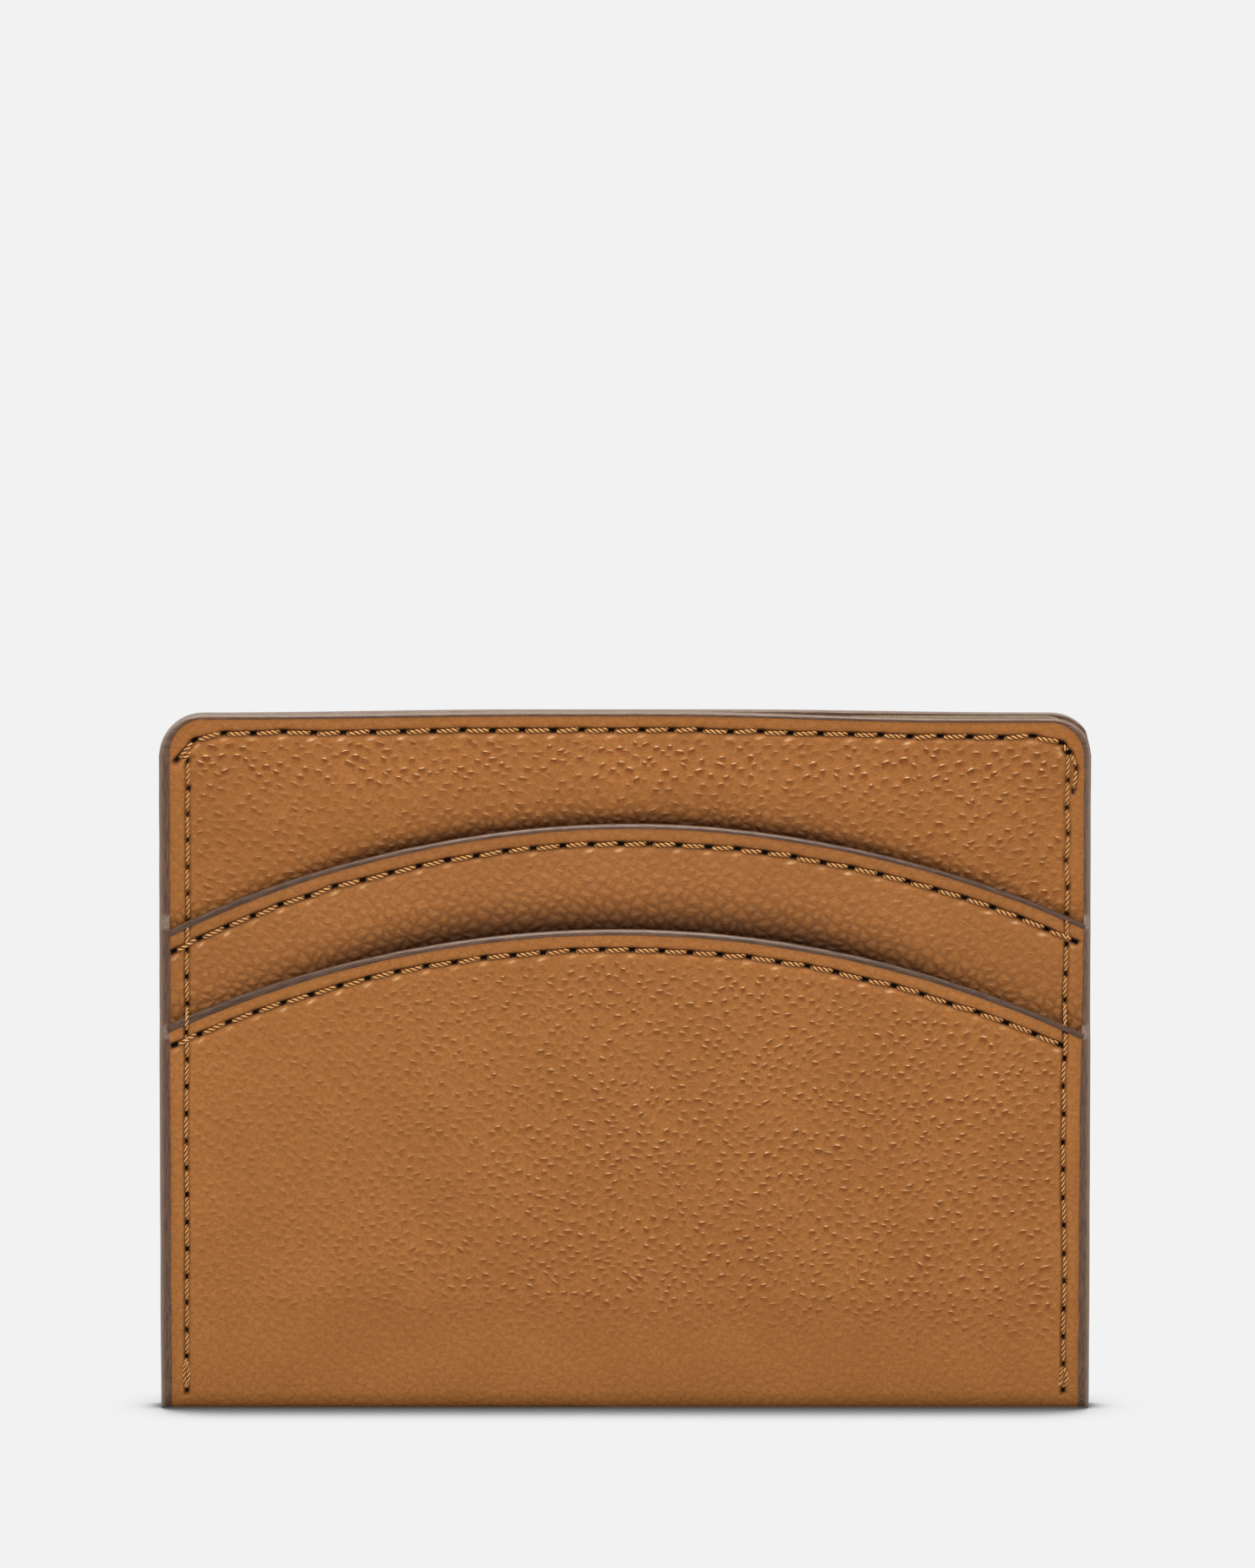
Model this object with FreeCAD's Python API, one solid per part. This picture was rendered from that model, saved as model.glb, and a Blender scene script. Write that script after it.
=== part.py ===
"""Card holder: a flat leather case with a centre pocket and two arc-cut card slots on each face.

Millimetres. The origin is on the bottom fold, under the middle of the case.
+X runs along the width to the right, +Z up to the open top, and the front faces -Y.
Every layer of the case is a plate of its own, so the stack is read from the centre plane outwards.
"""

import FreeCAD, Part
import math
import os

# Driving dimensions -------------------------------------------------------------------------
WIDTH = 101.6             # over the painted side edges
HEIGHT = 77.0             # from the bottom fold to the painted top edge
CORNER_RADIUS = 4.8       # of the two top corners, over the paint

LEATHER = 0.75            # split thickness of every leather piece
LINING = 0.20             # woven lining of the centre pocket
SLOT_LINING = 0.15        # thinner lining glued behind each slot's leather
STIFFENER = 0.30          # fibre board between main panel and lining
CENTRE_GAP = 0.10         # half the room left in the empty centre pocket
SLOT_GAP = 0.05           # room left in an empty card slot

SIDE_PAINT = 1.1          # how far the painted side edge stands out past the leather
TOP_PAINT = 0.5           # the same on the top edges
MOUTH_PAINT = 0.4         # the same on the slot mouths
SIDE_ROUND = 0.95         # rounding of the painted side edge
TOP_ROUND = 0.42          # rounding of the painted top edge
MOUTH_BEVEL = 0.28        # bevel of the painted slot mouth
STEP_RAMP = 1.0           # half the height over which the side paint steps down past a mouth

UPPER_MOUTH_TOP = 64.9    # highest point of the upper slot's mouth, over the paint
UPPER_MOUTH_RADIUS = 113.0
UPPER_MOUTH_X = 0.8       # where along the width that point lies
LOWER_MOUTH_TOP = 53.3
LOWER_MOUTH_RADIUS = 116.5
LOWER_MOUTH_X = -0.9

UPPER_SLOT_BOTTOM = 12.6  # where the upper pocket's leather ends, inside the lower slot
TAPER_TOP = 12.5          # below this height the outer wrap draws in towards its fold
FOLD_TOP = 2.4            # height where the rounded fold begins
FOLD_HALF_DEPTH = 2.3     # half the case's depth at that height
BASE_HALF_DEPTH = 1.2     # half the depth of the flat that the case stands on
INNER_BOTTOM = 1.2        # lower edge of the main panels, stiffeners and centre lining

SIDE_SEAM_X = 48.1        # the side seams' distance from the middle
SIDE_SEAM_TOP = 71.5      # highest needle hole of the side seams
SIDE_SEAM_BOTTOM = 2.6    # and the lowest one
SIDE_PITCH = 3.0
BELOW_MOUTH = 0.05        # side seam's needle hole over the leather's edge at a mouth, for the stitch below
ABOVE_MOUTH = 0.35        # the same for the stitch above, which clears the painted mouth
SEAM_PITCH = 3.18         # stitch length of the top, mouth and floor seams
TOP_SEAM_Z = 74.5
TOP_SEAM_END = 46.9       # the last needle hole of the straight top seam
MOUTH_SEAM_INSET = 2.2    # from the painted mouth to its seam
MOUTH_SEAM_END = 47.5     # the mouth seams end just inside the side seams
FLOOR_SEAM_Z = 14.6       # seam that closes the bottom of the upper slot
FLOOR_SEAM_END = 46.0
THREAD_WIDTH = 0.5
THREAD_HEIGHT = 0.40
THREAD_SUNK = 0.15        # how deep a stitch is pulled into the leather
THREAD_ROUND = 0.175      # rounding of a stitch's long shoulders
STITCH_GAP = 0.5          # between two stitches, at the needle hole

# Worked out from the above ------------------------------------------------------------------
HALF_WIDTH = WIDTH / 2
PANEL_HALF = HALF_WIDTH - SIDE_PAINT
PANEL_TOP = HEIGHT - TOP_PAINT
PANEL_CORNER = 3.9        # the leather's own top corners, nearly concentric with the painted ones
UPPER_MOUTH = (UPPER_MOUTH_TOP, UPPER_MOUTH_RADIUS, UPPER_MOUTH_X)
LOWER_MOUTH = (LOWER_MOUTH_TOP, LOWER_MOUTH_RADIUS, LOWER_MOUTH_X)

# The stack, as distances from the centre plane: (inner face, outer face)
CENTRE_LINING_Y = (CENTRE_GAP, CENTRE_GAP + LINING)
STIFFENER_Y = (CENTRE_LINING_Y[1], CENTRE_LINING_Y[1] + STIFFENER)
MAIN_Y = (STIFFENER_Y[1], STIFFENER_Y[1] + LEATHER)
UPPER_LINING_Y = (MAIN_Y[1] + SLOT_GAP, MAIN_Y[1] + SLOT_GAP + SLOT_LINING)
UPPER_Y = (UPPER_LINING_Y[1], UPPER_LINING_Y[1] + LEATHER)
LOWER_LINING_Y = (UPPER_Y[1] + SLOT_GAP, UPPER_Y[1] + SLOT_GAP + SLOT_LINING)
WRAP_Y = (LOWER_LINING_Y[1], LOWER_LINING_Y[1] + LEATHER)

SIDES = (("front", -1), ("rear", 1))
TOLERANCE = 1e-3
CLEAR = 1.0               # how far a cutting body reaches past what it cuts

Vec = FreeCAD.Vector


# Outlines in the XZ plane -------------------------------------------------------------------
def line(a, b):
    return Part.LineSegment(a, b).toShape()


def arc(a, b, c):
    return Part.Arc(a, b, c).toShape()


def at(x, z, y=0.0):
    return Vec(x, y, z)


def leather_z(mouth, x):
    """Height of the leather's edge under a mouth's paint."""
    top, radius, middle = mouth
    return top - MOUTH_PAINT - radius + math.sqrt(radius ** 2 - (x - middle) ** 2)


def rounded_top(half, low, top, corner):
    """Edges from the left foot over two rounded corners to the right foot."""
    inner_x = half - corner
    inner_z = top - corner
    middle = corner * math.sqrt(0.5)
    left = arc(at(-half, inner_z), at(-inner_x - middle, inner_z + middle), at(-inner_x, top))
    right = arc(at(inner_x, top), at(inner_x + middle, inner_z + middle), at(half, inner_z))
    edges = [left, line(at(-inner_x, top), at(inner_x, top)), right]
    if inner_z - low > TOLERANCE:
        edges.insert(0, line(at(-half, low), at(-half, inner_z)))
        edges.append(line(at(half, inner_z), at(half, low)))
    return edges


def mouth_arc(mouth, half, out=0.0):
    """The arc of a leather's edge under its mouth, or an arc further out, and the arc's two ends."""
    top, radius, middle = mouth
    centre = top - MOUTH_PAINT - radius
    radius += out
    ends = [at(x, centre + math.sqrt(radius ** 2 - (x - middle) ** 2)) for x in (-half, half)]
    return arc(ends[0], at(middle, centre + radius), ends[1]), ends


def plate(edges, span, sign):
    """The closed outline, made as deep as one layer of the stack, on the front or the rear."""
    inner, outer = span
    face = Part.Face(Part.Wire(edges))
    face.translate(Vec(0, sign * inner, 0))
    return face.extrude(Vec(0, sign * (outer - inner), 0))


def panel(span, sign, low=INNER_BOTTOM):
    """A full-height layer with rounded top corners."""
    edges = rounded_top(PANEL_HALF, low, PANEL_TOP, PANEL_CORNER)
    edges.append(line(at(PANEL_HALF, low), at(-PANEL_HALF, low)))
    return plate(edges, span, sign)


def pocket(span, sign, mouth, low):
    """A layer whose top is cut to the arc of a slot's mouth."""
    top, (left, right) = mouth_arc(mouth, PANEL_HALF)
    edges = [
        line(at(-PANEL_HALF, low), left),
        top,
        line(right, at(PANEL_HALF, low)),
        line(at(PANEL_HALF, low), at(-PANEL_HALF, low)),
    ]
    return plate(edges, span, sign)


# Profiles in the YZ plane -------------------------------------------------------------------
def fold_corner(half_depth, base_half, top, bottom, sign):
    """The rounded quarter from a side of the fold down to its flat, as an arc of an ellipse."""
    centre = Vec(0, sign * base_half, top)
    side = Vec(0, sign * half_depth, top)
    foot = Vec(0, sign * base_half, bottom)
    ellipse = Part.Ellipse(foot, side, centre)
    start = ellipse.parameter(side)
    end = ellipse.parameter(foot)
    if abs(end - start) > math.pi:
        start, end = (start - 2 * math.pi, end) if start > end else (start, end - 2 * math.pi)
    return Part.ArcOfEllipse(ellipse, min(start, end), max(start, end)).toShape()


def wrap_profile(inset, top):
    """Closed outline of the case's cross-section up to a height, drawn in by an inset."""
    depth = WRAP_Y[1] - inset
    fold = FOLD_HALF_DEPTH - inset
    edges = [line(Vec(0, -BASE_HALF_DEPTH, inset), Vec(0, BASE_HALF_DEPTH, inset))]
    for sign in (-1, 1):
        edges.append(fold_corner(fold, BASE_HALF_DEPTH, FOLD_TOP, inset, sign))
        edges.append(line(Vec(0, sign * fold, FOLD_TOP), Vec(0, sign * depth, TAPER_TOP)))
        edges.append(line(Vec(0, sign * depth, TAPER_TOP), Vec(0, sign * depth, top)))
    edges.append(line(Vec(0, -depth, top), Vec(0, depth, top)))
    return Part.Face(Part.Wire(Part.__sortEdges__(edges)))


def along_width(face, half):
    face.translate(Vec(-half, 0, 0))
    return face.extrude(Vec(2 * half, 0, 0))


def under_mouth(solid, mouth):
    """What is left of a solid under a slot mouth's arc."""
    top, (left, right) = mouth_arc(mouth, HALF_WIDTH)
    edges = [
        top,
        line(right, at(HALF_WIDTH, -CLEAR)),
        line(at(HALF_WIDTH, -CLEAR), at(-HALF_WIDTH, -CLEAR)),
        line(at(-HALF_WIDTH, -CLEAR), left),
    ]
    keep = plate(edges, (-HALF_WIDTH, HALF_WIDTH), 1)
    return solid.common(keep)


# Leather and lining -------------------------------------------------------------------------
def outer_wrap():
    """One leather piece: the front lower pocket, the bottom fold and the rear lower pocket."""
    outside = along_width(wrap_profile(0.0, LOWER_MOUTH_TOP), PANEL_HALF)
    inside = along_width(wrap_profile(LEATHER, LOWER_MOUTH_TOP + CLEAR), HALF_WIDTH)
    return under_mouth(outside.cut(inside), LOWER_MOUTH)


def lower_slot_lining(sign):
    """The lining glued inside the outer wrap, from the slot's mouth down to the fold."""
    outside = along_width(wrap_profile(LEATHER, LOWER_MOUTH_TOP), PANEL_HALF)
    inside = along_width(wrap_profile(LEATHER + SLOT_LINING, LOWER_MOUTH_TOP + CLEAR), HALF_WIDTH)
    shell = under_mouth(outside.cut(inside), LOWER_MOUTH)
    half = Part.makeBox(WIDTH, WRAP_Y[1], LOWER_MOUTH_TOP, Vec(-HALF_WIDTH, 0, FOLD_TOP))
    if sign < 0:
        half.translate(Vec(0, -WRAP_Y[1], 0))
    return shell.common(half)


def centre_pocket_lining():
    """One woven piece folded at the bottom, which lines both walls of the centre pocket."""
    inner, outer = CENTRE_LINING_Y
    bend = INNER_BOTTOM + outer
    solids = [panel(CENTRE_LINING_Y, sign, bend) for _, sign in SIDES]
    edges = []
    for radius in (inner, outer):
        edges.append(arc(Vec(0, -radius, bend), Vec(0, 0, bend - radius), Vec(0, radius, bend)))
    edges.append(line(Vec(0, -outer, bend), Vec(0, -inner, bend)))
    edges.append(line(Vec(0, inner, bend), Vec(0, outer, bend)))
    fold = along_width(Part.Face(Part.Wire(Part.__sortEdges__(edges))), PANEL_HALF)
    return solids[0].fuse([solids[1], fold]).removeSplitter()


# Painted edges ------------------------------------------------------------------------------
def past_outline(x, z):
    """Distance of a point outside the case's outline over the paint; negative inside."""
    over_x = abs(x) - (HALF_WIDTH - CORNER_RADIUS)
    over_z = z - (HEIGHT - CORNER_RADIUS)
    if over_x > 0 and over_z > 0:
        return math.hypot(over_x, over_z) - CORNER_RADIUS
    return max(over_x, over_z) - CORNER_RADIUS


def pick_edges(solid, chosen):
    """The edges that a test picks by their middle point and by whether they run through the stack."""
    edges = []
    for edge in solid.Edges:
        middle = edge.valueAt((edge.FirstParameter + edge.LastParameter) / 2)
        along_y = abs(edge.Vertexes[0].Point.y - edge.Vertexes[-1].Point.y) > TOLERANCE
        if chosen(middle, along_y):
            edges.append(edge)
    return edges


def top_edge_paint(sign):
    """The painted top edge of one wall of the centre pocket, over both corners."""
    low = HEIGHT - CORNER_RADIUS
    edges = rounded_top(HALF_WIDTH, low, HEIGHT, CORNER_RADIUS)
    edges += rounded_top(PANEL_HALF, low, PANEL_TOP, PANEL_CORNER)
    for side in (-1, 1):
        edges.append(line(at(side * HALF_WIDTH, low), at(side * PANEL_HALF, low)))
    solid = plate(Part.__sortEdges__(edges), (CENTRE_GAP, MAIN_Y[1]), sign)

    def outside(middle, along_y):
        return not along_y and past_outline(middle.x, middle.z) > -TOLERANCE

    return solid.makeFillet(TOP_ROUND, pick_edges(solid, outside))


def mouth_edge_paint(span, sign, mouth):
    """The painted edge of a slot's mouth."""
    outer_arc, outer_ends = mouth_arc(mouth, PANEL_HALF, MOUTH_PAINT)
    inner_arc, inner_ends = mouth_arc(mouth, PANEL_HALF)
    ends = [line(a, b) for a, b in zip(outer_ends, inner_ends)]
    solid = plate(Part.__sortEdges__([outer_arc, inner_arc] + ends), span, sign)

    def on_mouth(middle, along_y):
        return not along_y and middle.z > mouth[0] - MOUTH_PAINT / 2

    return solid.makeChamfer(MOUTH_BEVEL, pick_edges(solid, on_mouth))


def side_edge_paint(side):
    """The painted side edge over the whole stack: it steps down where a pocket begins."""
    top = HEIGHT - CORNER_RADIUS
    lower = leather_z(LOWER_MOUTH, side * PANEL_HALF) + MOUTH_PAINT
    upper = leather_z(UPPER_MOUTH, side * PANEL_HALF) + MOUTH_PAINT
    steps = [
        (FOLD_HALF_DEPTH, FOLD_TOP),
        (WRAP_Y[1], TAPER_TOP),
        (WRAP_Y[1], lower - STEP_RAMP),
        (UPPER_Y[1], lower + STEP_RAMP),
        (UPPER_Y[1], upper - STEP_RAMP),
        (MAIN_Y[1], upper + STEP_RAMP),
        (MAIN_Y[1], top),
    ]
    edges = [line(Vec(0, -BASE_HALF_DEPTH, 0), Vec(0, BASE_HALF_DEPTH, 0))]
    for sign in (-1, 1):
        edges.append(fold_corner(FOLD_HALF_DEPTH, BASE_HALF_DEPTH, FOLD_TOP, 0.0, sign))
        for (y0, z0), (y1, z1) in zip(steps, steps[1:]):
            edges.append(line(Vec(0, sign * y0, z0), Vec(0, sign * y1, z1)))
    edges.append(line(Vec(0, -MAIN_Y[1], top), Vec(0, MAIN_Y[1], top)))
    face = Part.Face(Part.Wire(Part.__sortEdges__(edges)))
    face.translate(Vec(side * PANEL_HALF, 0, 0))
    solid = face.extrude(Vec(side * SIDE_PAINT, 0, 0))

    def on_rim(middle, along_y):
        out = abs(middle.x) > HALF_WIDTH - TOLERANCE
        return out and TOLERANCE < middle.z < top - TOLERANCE

    return solid.makeFillet(SIDE_ROUND, pick_edges(solid, on_rim))


# Stitching ----------------------------------------------------------------------------------
def surface_y(x, z):
    """Depth of the outermost leather at a point of the face."""
    if z < leather_z(LOWER_MOUTH, x):
        if z < TAPER_TOP:
            share = (z - FOLD_TOP) / (TAPER_TOP - FOLD_TOP)
            return FOLD_HALF_DEPTH + share * (WRAP_Y[1] - FOLD_HALF_DEPTH)
        return WRAP_Y[1]
    if z < leather_z(UPPER_MOUTH, x):
        return UPPER_Y[1]
    return MAIN_Y[1]


def stitch(start, end, sign, height, sunk):
    """One stitch: a flat bar of thread with rounded shoulders, pulled a little into the leather."""
    run = end - start
    bar = Part.makeBox(run.Length - STITCH_GAP, THREAD_WIDTH, height)
    shoulders = [e for e in bar.Edges if e.CenterOfMass.z > height - TOLERANCE]
    shoulders = [e for e in shoulders if e.Length > THREAD_WIDTH + TOLERANCE]
    bar = bar.makeFillet(THREAD_ROUND, shoulders)
    bar.translate(Vec(-(run.Length - STITCH_GAP) / 2, -THREAD_WIDTH / 2, -sunk))
    along = Vec(run).normalize()
    out = Vec(0, sign, 0)
    across = out.cross(along).normalize()
    turn = FreeCAD.Rotation(along, across, along.cross(across), "XYZ")
    bar.Placement = FreeCAD.Placement((start + end) * 0.5, turn).multiply(bar.Placement)
    return bar


def on_face(hole, towards, sign):
    """A needle hole (x, z) as a point on the leather that the stitch towards the next one lies on."""
    share = STITCH_GAP / 2 / math.dist(hole, towards)
    x = hole[0] + share * (towards[0] - hole[0])
    z = hole[1] + share * (towards[1] - hole[1])
    return Vec(hole[0], sign * surface_y(x, z), hole[1])


def seam(holes, sign):
    """The stitches between a row of needle holes (x, z)."""
    pairs = [(on_face(a, b, sign), on_face(b, a, sign)) for a, b in zip(holes, holes[1:])]
    return [stitch(a, b, sign, THREAD_HEIGHT, THREAD_SUNK) for a, b in pairs]


def top_seam(sign):
    count = round(2 * TOP_SEAM_END / SEAM_PITCH)
    pitch = 2 * TOP_SEAM_END / count
    holes = [(-SIDE_SEAM_X, SIDE_SEAM_TOP)]
    holes += [(-TOP_SEAM_END + i * pitch, TOP_SEAM_Z) for i in range(count + 1)]
    holes.append((SIDE_SEAM_X, SIDE_SEAM_TOP))
    return seam(holes, sign)


def mouth_seam(sign, mouth):
    """The seam along a mouth, in even stitches on an arc a little way under the edge."""
    top, radius, middle = mouth
    centre = top - MOUTH_PAINT - radius
    radius += MOUTH_PAINT - MOUTH_SEAM_INSET
    start = math.asin((-MOUTH_SEAM_END - middle) / radius)
    end = math.asin((MOUTH_SEAM_END - middle) / radius)
    count = round((end - start) * radius / SEAM_PITCH)
    angles = [start + (end - start) * i / count for i in range(count + 1)]
    return seam([(middle + radius * math.sin(a), centre + radius * math.cos(a)) for a in angles], sign)


def side_seam(side):
    """The seam through every layer, so it shows on the front and on the rear, broken at each mouth."""
    lower = leather_z(LOWER_MOUTH, side * SIDE_SEAM_X)
    upper = leather_z(UPPER_MOUTH, side * SIDE_SEAM_X)
    stretches = [
        (SIDE_SEAM_BOTTOM, lower + BELOW_MOUTH),
        (lower + ABOVE_MOUTH, upper + BELOW_MOUTH),
        (upper + ABOVE_MOUTH, SIDE_SEAM_TOP),
    ]
    stitches = []
    for low, high in stretches:
        count = round((high - low) / SIDE_PITCH)
        heights = [low + (high - low) * i / count for i in range(count + 1)]
        holes = [(side * SIDE_SEAM_X, z) for z in heights]
        stitches += seam(holes, -1) + seam(holes, 1)
    return stitches


def floor_seam(sign):
    """The hidden seam that closes the upper slot: it lies flush in the upper pocket's leather."""
    count = round(2 * FLOOR_SEAM_END / SEAM_PITCH)
    pitch = 2 * FLOOR_SEAM_END / count
    points = [Vec(-FLOOR_SEAM_END + i * pitch, sign * UPPER_Y[1], FLOOR_SEAM_Z)
              for i in range(count + 1)]
    flush = THREAD_HEIGHT / 2
    return [stitch(a, b, sign, flush, flush) for a, b in zip(points, points[1:])]


def press_in(solid, stitches):
    """Sinks the stitches that reach into a solid: their beds are cut out of it."""
    touching = [s for s in stitches if s.BoundBox.intersect(solid.BoundBox)]
    if not touching:
        return solid
    return solid.cut(touching)


# The assembly -------------------------------------------------------------------------------
def build():
    stitched = {}
    for name, sign in SIDES:
        stitched[f"{name}_top_stitching"] = top_seam(sign)
        stitched[f"{name}_upper_mouth_stitching"] = mouth_seam(sign, UPPER_MOUTH)
        stitched[f"{name}_lower_mouth_stitching"] = mouth_seam(sign, LOWER_MOUTH)
        stitched[f"{name}_slot_floor_stitching"] = floor_seam(sign)
    for name, side in (("left", -1), ("right", 1)):
        stitched[f"{name}_side_stitching"] = side_seam(side)
    stitches = [s for seam_stitches in stitched.values() for s in seam_stitches]

    solids = {
        "outer_wrap": outer_wrap(),
        "centre_pocket_lining": centre_pocket_lining(),
        "left_side_edge_paint": side_edge_paint(-1),
        "right_side_edge_paint": side_edge_paint(1),
    }
    for name, sign in SIDES:
        solids[f"{name}_main_panel"] = panel(MAIN_Y, sign)
        solids[f"{name}_panel_stiffener"] = panel(STIFFENER_Y, sign)
        solids[f"{name}_upper_pocket"] = pocket(UPPER_Y, sign, UPPER_MOUTH, UPPER_SLOT_BOTTOM)
        lining = pocket(UPPER_LINING_Y, sign, UPPER_MOUTH, UPPER_SLOT_BOTTOM)
        solids[f"{name}_upper_slot_lining"] = lining
        solids[f"{name}_lower_slot_lining"] = lower_slot_lining(sign)
        solids[f"{name}_top_edge_paint"] = top_edge_paint(sign)
        upper_span = (UPPER_LINING_Y[0], UPPER_Y[1])
        lower_span = (LOWER_LINING_Y[0], WRAP_Y[1])
        solids[f"{name}_upper_mouth_edge_paint"] = mouth_edge_paint(upper_span, sign, UPPER_MOUTH)
        solids[f"{name}_lower_mouth_edge_paint"] = mouth_edge_paint(lower_span, sign, LOWER_MOUTH)

    nodes = {name: press_in(solid, stitches) for name, solid in solids.items()}
    nodes.update({name: Part.Compound(bars) for name, bars in stitched.items()})
    return nodes


os.makedirs("parts", exist_ok=True)
for node, shape in sorted(build().items()):
    print(f"{node}: {len(shape.Solids)} solid(s), {shape.Volume:.1f} mm3, valid {shape.isValid()}")
    shape.exportStep(f"parts/{node}.step")
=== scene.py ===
"""Looks of the card holder: leather, lining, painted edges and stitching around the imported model.

Lengths are millimetres and are scaled to metres when a mesh is made. +X is the width, +Z is up,
and the front faces -Y. A layer's place in the stack is its depth: the distance from the centre plane.
"""

import math

import bpy
import numpy as np
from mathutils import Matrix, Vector


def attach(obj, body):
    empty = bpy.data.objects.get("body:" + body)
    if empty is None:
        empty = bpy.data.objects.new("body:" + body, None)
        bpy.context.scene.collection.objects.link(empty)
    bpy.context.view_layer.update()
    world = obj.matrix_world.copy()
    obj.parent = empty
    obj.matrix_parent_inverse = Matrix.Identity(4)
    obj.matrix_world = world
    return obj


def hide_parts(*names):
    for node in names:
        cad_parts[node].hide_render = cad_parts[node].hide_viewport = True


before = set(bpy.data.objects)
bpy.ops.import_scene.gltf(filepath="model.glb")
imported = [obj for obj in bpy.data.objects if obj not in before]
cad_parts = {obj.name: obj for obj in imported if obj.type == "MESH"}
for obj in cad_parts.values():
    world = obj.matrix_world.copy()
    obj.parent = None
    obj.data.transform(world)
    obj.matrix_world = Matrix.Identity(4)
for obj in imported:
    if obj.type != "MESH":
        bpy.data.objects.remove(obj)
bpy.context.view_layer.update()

MM = 0.001

# The case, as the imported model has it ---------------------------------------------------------
HALF_WIDTH = 50.8
HEIGHT = 77.0
CORNER_RADIUS = 4.8           # of the painted outline
PANEL_HALF = 49.7             # half the width of every leather sheet
PANEL_TOP = 76.75
PANEL_CORNER = 3.9
INNER_BOTTOM = 1.2
UPPER_SLOT_BOTTOM = 12.6
TAPER_TOP = 12.5
FOLD_TOP = 2.4
FOLD_HALF_DEPTH = 2.3
BASE_HALF_DEPTH = 1.2
UPPER_EDGE = (64.5, 113.0, 0.8)    # apex, radius and middle of the leather's edge at the upper mouth
LOWER_EDGE = (52.94, 116.5, -0.9)
CENTRE_LINING_D = (0.10, 0.30)     # inner and outer depth of a layer
MAIN_D = (0.60, 1.35)
UPPER_D = (1.55, 2.30)
WRAP_D = (2.50, 3.25)
LEATHER_THICK = WRAP_D[1] - WRAP_D[0]
SIDE_SEAM_X = 48.1
SIDE_PITCH = 3.04
SEAM_PITCH = 3.18
TOP_SEAM_Z = 75.05
TOP_SEAM_END = 46.9
MOUTH_SEAM_INSET = 2.2
MOUTH_PAINT = 0.4

FRONT_SEED, REAR_SEED = 11, 31     # of the slight waves in each face
SIDES = (("front", -1, FRONT_SEED), ("rear", 1, REAR_SEED))
SPACING = 0.27                # of the leather's mesh
FINE = 0.12                   # the same beside a seam, in a band this far under the leather's edge
MOUTH_BAND = (2.9, 1.0)
TOP_BAND = (3.0, 1.2)
COARSE = 1.6                  # the same on hidden faces
HIDDEN = 1.5                  # how far under a mouth's edge the mesh behind it is coarse


# Small numeric helpers ------------------------------------------------------------------------
def smoothstep(low, high, value):
    t = np.clip((value - low) / (high - low), 0.0, 1.0)
    return t * t * (3.0 - 2.0 * t)


def fade(low, high, value):
    return 1.0 - smoothstep(low, high, value)


def bell(value, width):
    return np.exp(-(value / width) ** 2)


def noise(x, z, cell, seed):
    """Smooth noise between about -1 and 1, with features a cell across."""
    rng = np.random.default_rng(seed)
    size = 257
    table = rng.uniform(-1.0, 1.0, (size, size))
    u = np.asarray(x, float) / cell + 91.3
    v = np.asarray(z, float) / cell + 57.7
    iu, iv = np.floor(u).astype(int), np.floor(v).astype(int)
    fu, fv = u - iu, v - iv
    fu, fv = fu * fu * (3 - 2 * fu), fv * fv * (3 - 2 * fv)
    iu, iv = iu % (size - 1), iv % (size - 1)
    low = table[iv, iu] * (1 - fu) + table[iv, iu + 1] * fu
    high = table[iv + 1, iu] * (1 - fu) + table[iv + 1, iu + 1] * fu
    return low * (1 - fv) + high * fv


def arc_z(edge, x):
    """Height of a mouth's edge at x."""
    apex, radius, middle = edge
    return apex - radius + np.sqrt(radius ** 2 - (np.clip(x, -HALF_WIDTH, HALF_WIDTH) - middle) ** 2)


def arc_tilt(edge, x):
    """Cosine of the arc's slope at x."""
    return np.sqrt(1.0 - ((np.clip(x, -HALF_WIDTH, HALF_WIDTH) - edge[2]) / edge[1]) ** 2)


def over_arc(edge, x, z):
    """Distance of a point above a mouth's edge, square to it."""
    return (z - arc_z(edge, x)) * arc_tilt(edge, x)


def drift(x, z):
    """How far the right margin is cut wider towards the top of the case."""
    return 0.42 * smoothstep(36.0, 48.0, x) * smoothstep(24.0, 62.0, z)


def sag(x, z, sign):
    """How far a wall's top edge has sunk: the front wall lies lower towards the right."""
    if sign < 0:
        drop = 0.34 * smoothstep(8.0, 42.0, -x) + 0.70 * smoothstep(4.0, 36.0, x)
    else:
        drop = 0.34 * smoothstep(12.0, 44.0, np.abs(x))
    return -drop * smoothstep(57.0, 74.0, z)


# Needle holes ---------------------------------------------------------------------------------
def jitter(holes, seed, amount=0.05):
    """Needle holes as a hand guides them, a little off their line."""
    return holes + np.random.default_rng(seed).normal(0.0, amount, holes.shape)


def top_holes():
    """The top seam, which falls a little at both ends, and its last holes round the corners."""
    count = round(2 * TOP_SEAM_END / SEAM_PITCH)
    xs = np.linspace(-TOP_SEAM_END, TOP_SEAM_END + 0.4, count + 1)
    drop = 0.75 * smoothstep(44.5, 47.2, np.abs(xs))
    row = np.stack([xs, TOP_SEAM_Z - drop], axis=1)
    return jitter(np.concatenate([[(-48.9, 72.25)], row, [(47.8, 73.3)]]), 3)


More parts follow.
